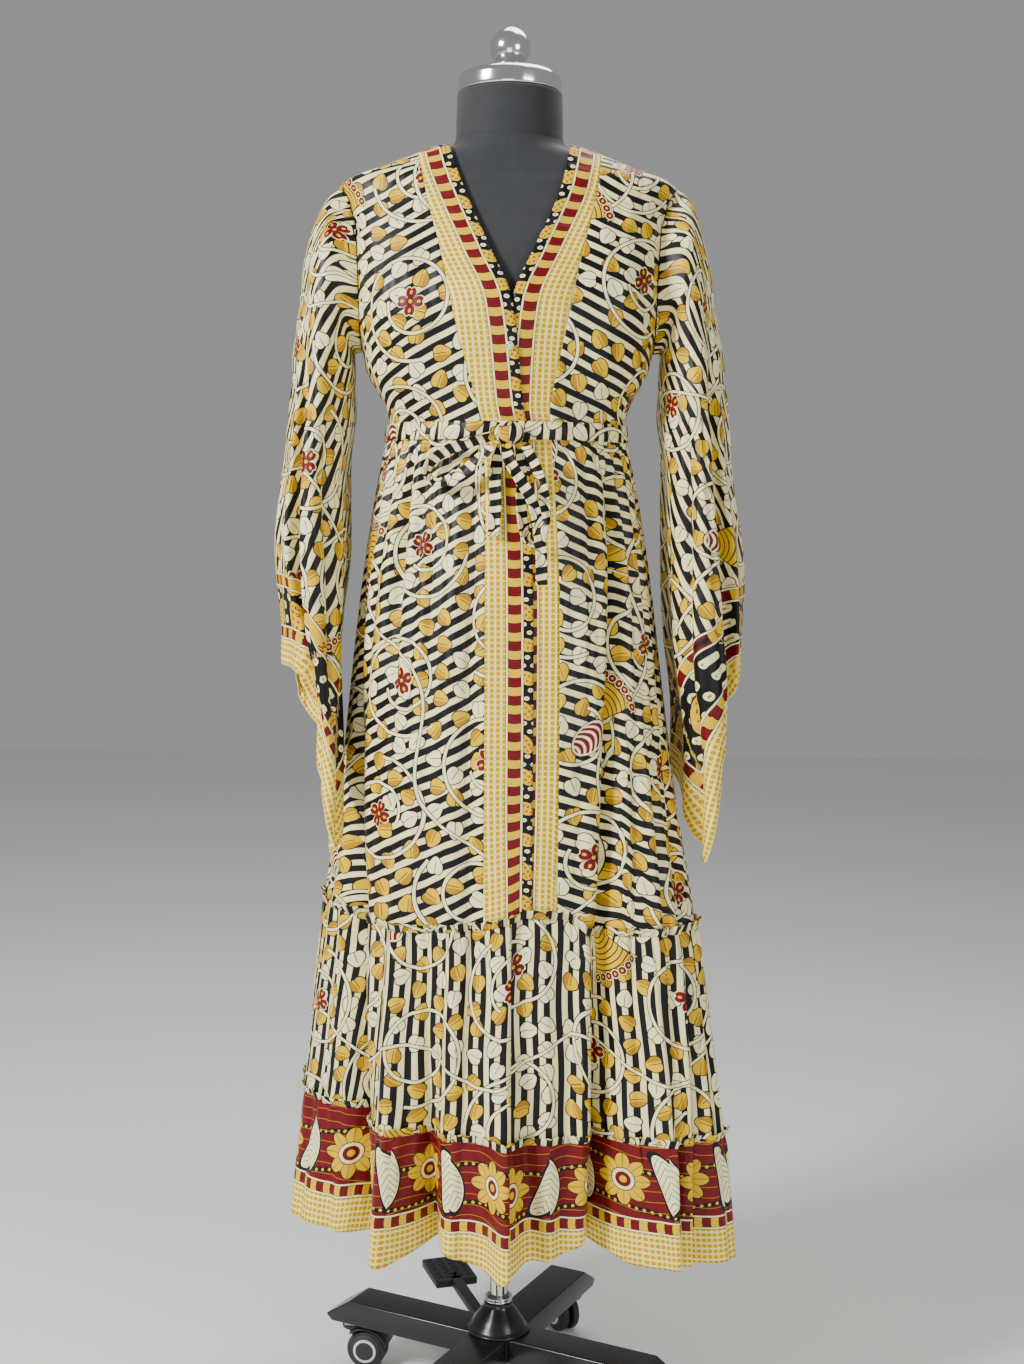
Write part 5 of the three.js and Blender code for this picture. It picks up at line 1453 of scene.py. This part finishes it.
for number, (angle, trails_to) in enumerate(zip(LEG_ANGLES, TRAILS_TO), 1):
    stem = towards(angle) @ Matrix.Translation((STEM_AT * MM, 0, 0))
    stem = stem @ Matrix.Rotation(math.radians(trails_to - angle), 4, "Z")
    wheel_place = stem @ Matrix.Translation((TRAIL * MM, 0, AXLE_HEIGHT * MM))
    wheel_place = wheel_place @ Matrix.Rotation(math.pi / 2, 4, "X")
    cheek = upright_mesh("cheek", [
        (-9, 48), (4, 30), (9, AXLE_HEIGHT + 3), (TRAIL - 7, AXLE_HEIGHT - 3),
        (TRAIL, AXLE_HEIGHT - 8), (TRAIL + 7, AXLE_HEIGHT - 3), (TRAIL + 11, AXLE_HEIGHT + 9),
        (TRAIL + 13, AXLE_HEIGHT + 14), (TRAIL + 4, 51), (TRAIL, 52), (-9, 52),
    ], WEB, stem, 0.5, 2)
    guard = WHEEL_RADIUS + 2
    arch = np.radians(np.linspace(16, 132, 22))
    hood_outline = [
        (TRAIL + reach * math.cos(turn), AXLE_HEIGHT + reach * math.sin(turn))
        for reach, turns in ((guard + 3, arch), (guard + 0.6, arch[::-1])) for turn in turns
    ]
    hood = upright_mesh("hood", hood_outline, WHEEL_WIDTH * 2 + WEB + 3, stem, 0.6, 2)
    head = turned_mesh("head", rounded([
        (0, 50), (15, 50), (15, 55), (13.5, 56), (13.5, 57), (15, 58), (15, 61.4), (0, 61.4),
    ], 0.8, 3), 48, stem)
    hard_piece(f"caster_fork_{number}_moulded", joined_mesh(f"caster_fork_{number}_moulded",
               [cheek, hood, head]), BLACK_PLASTIC, f"caster_{number}", f"caster_fork_{number}",
               45)
    nut = turned_mesh("stem_nut", [
        (10, 61.6), (10, 55.6), (16, 55.6), (16.4, 56.2), (16.4, 60.4), (16, 61), (14, 61.6),
    ], 6, stem)
    hard_piece(f"stem_nut_{number}", nut, PLATED, f"caster_{number}", None, 30)
    rim, tread = WHEEL_GAP + WHEEL_WIDTH, AXLE_HEIGHT
    wheel_side = [(4, WHEEL_GAP), (tread - 1, WHEEL_GAP), (tread, WHEEL_GAP + 1),
                  (tread, rim - 6.5), (23.6, rim - 4.6), (21, rim - 3.2), (20.4, rim - 3.4),
                  (20, rim - 2.6), (17, rim - 1.2), (12, rim - 0.3), (6, rim - 0.1), (0, rim)]
    wheel_outline = [(radius, -out) for radius, out in wheel_side[::-1]] + wheel_side
    wheel = turned_mesh("wheel", wheel_outline, 72, wheel_place)
    hard_piece(f"caster_wheel_{number}_moulded", wheel, BLACK_RUBBER, f"wheel_{number}",
               f"caster_wheel_{number}", 30)
    rings = [turned_mesh("ring", [
        (11.6, side * (rim - 1.2)), (11.7, side * (rim + 0.25)), (14.6, side * (rim - 0.1)),
        (15.1, side * (rim - 1.8)),
    ], 60, wheel_place) for side in (-1, 1)]
    hard_piece(f"caster_ring_{number}", joined_mesh(f"caster_ring_{number}", rings), RING_PAINT,
               f"wheel_{number}", None, 40)

# ---------------------------------------------------------------- pedal
# A black ribbed foot pad with two rows of raised rings, on a flat bar from between the legs.
PEDAL_ANGLE, PEDAL_REACH, PAD_LENGTH, PAD_WIDTH, PEDAL_HEIGHT = 108, 215, 74, 56, 74
turn = towards(PEDAL_ANGLE)
pad_start = PEDAL_REACH - PAD_LENGTH / 2
bar_tip = (LEG_WIDTH / 2 + 0.3) * math.sqrt(2) + 7
bar = upright_mesh("bar", [
    (bar_tip, PEDAL_HEIGHT), (bar_tip + 5, PEDAL_HEIGHT - 5), (pad_start + 20, PEDAL_HEIGHT - 5),
    (pad_start + 20, PEDAL_HEIGHT + 5), (bar_tip + 5, PEDAL_HEIGHT + 5),
], 14, turn, 0.9)
pad = upright_mesh("pad", [
    (pad_start, PEDAL_HEIGHT - 6), (pad_start + PAD_LENGTH, PEDAL_HEIGHT - 6),
    (pad_start + PAD_LENGTH, PEDAL_HEIGHT + 5), (pad_start, PEDAL_HEIGHT + 5),
], PAD_WIDTH, turn, 2.4, 4)
studs = []
for row in range(5):
    for column in range(4):
        centre = Matrix.Translation((
            (pad_start + 11 + row * 13) * MM, (column - 1.5) * 13 * MM, 0
        ))
        studs.append(turned_mesh("stud", [
            (2.4, PEDAL_HEIGHT + 4), (2.5, PEDAL_HEIGHT + 5.9), (2.9, PEDAL_HEIGHT + 6.1),
            (4.1, PEDAL_HEIGHT + 6.1), (4.6, PEDAL_HEIGHT + 5.8), (4.8, PEDAL_HEIGHT + 4),
        ], 28, turn @ centre))
hard_piece("pedal_pad", joined_mesh("pedal_pad", [bar, pad, *studs]), BLACK_RUBBER, "pedal_arm",
           "pedal", 40)
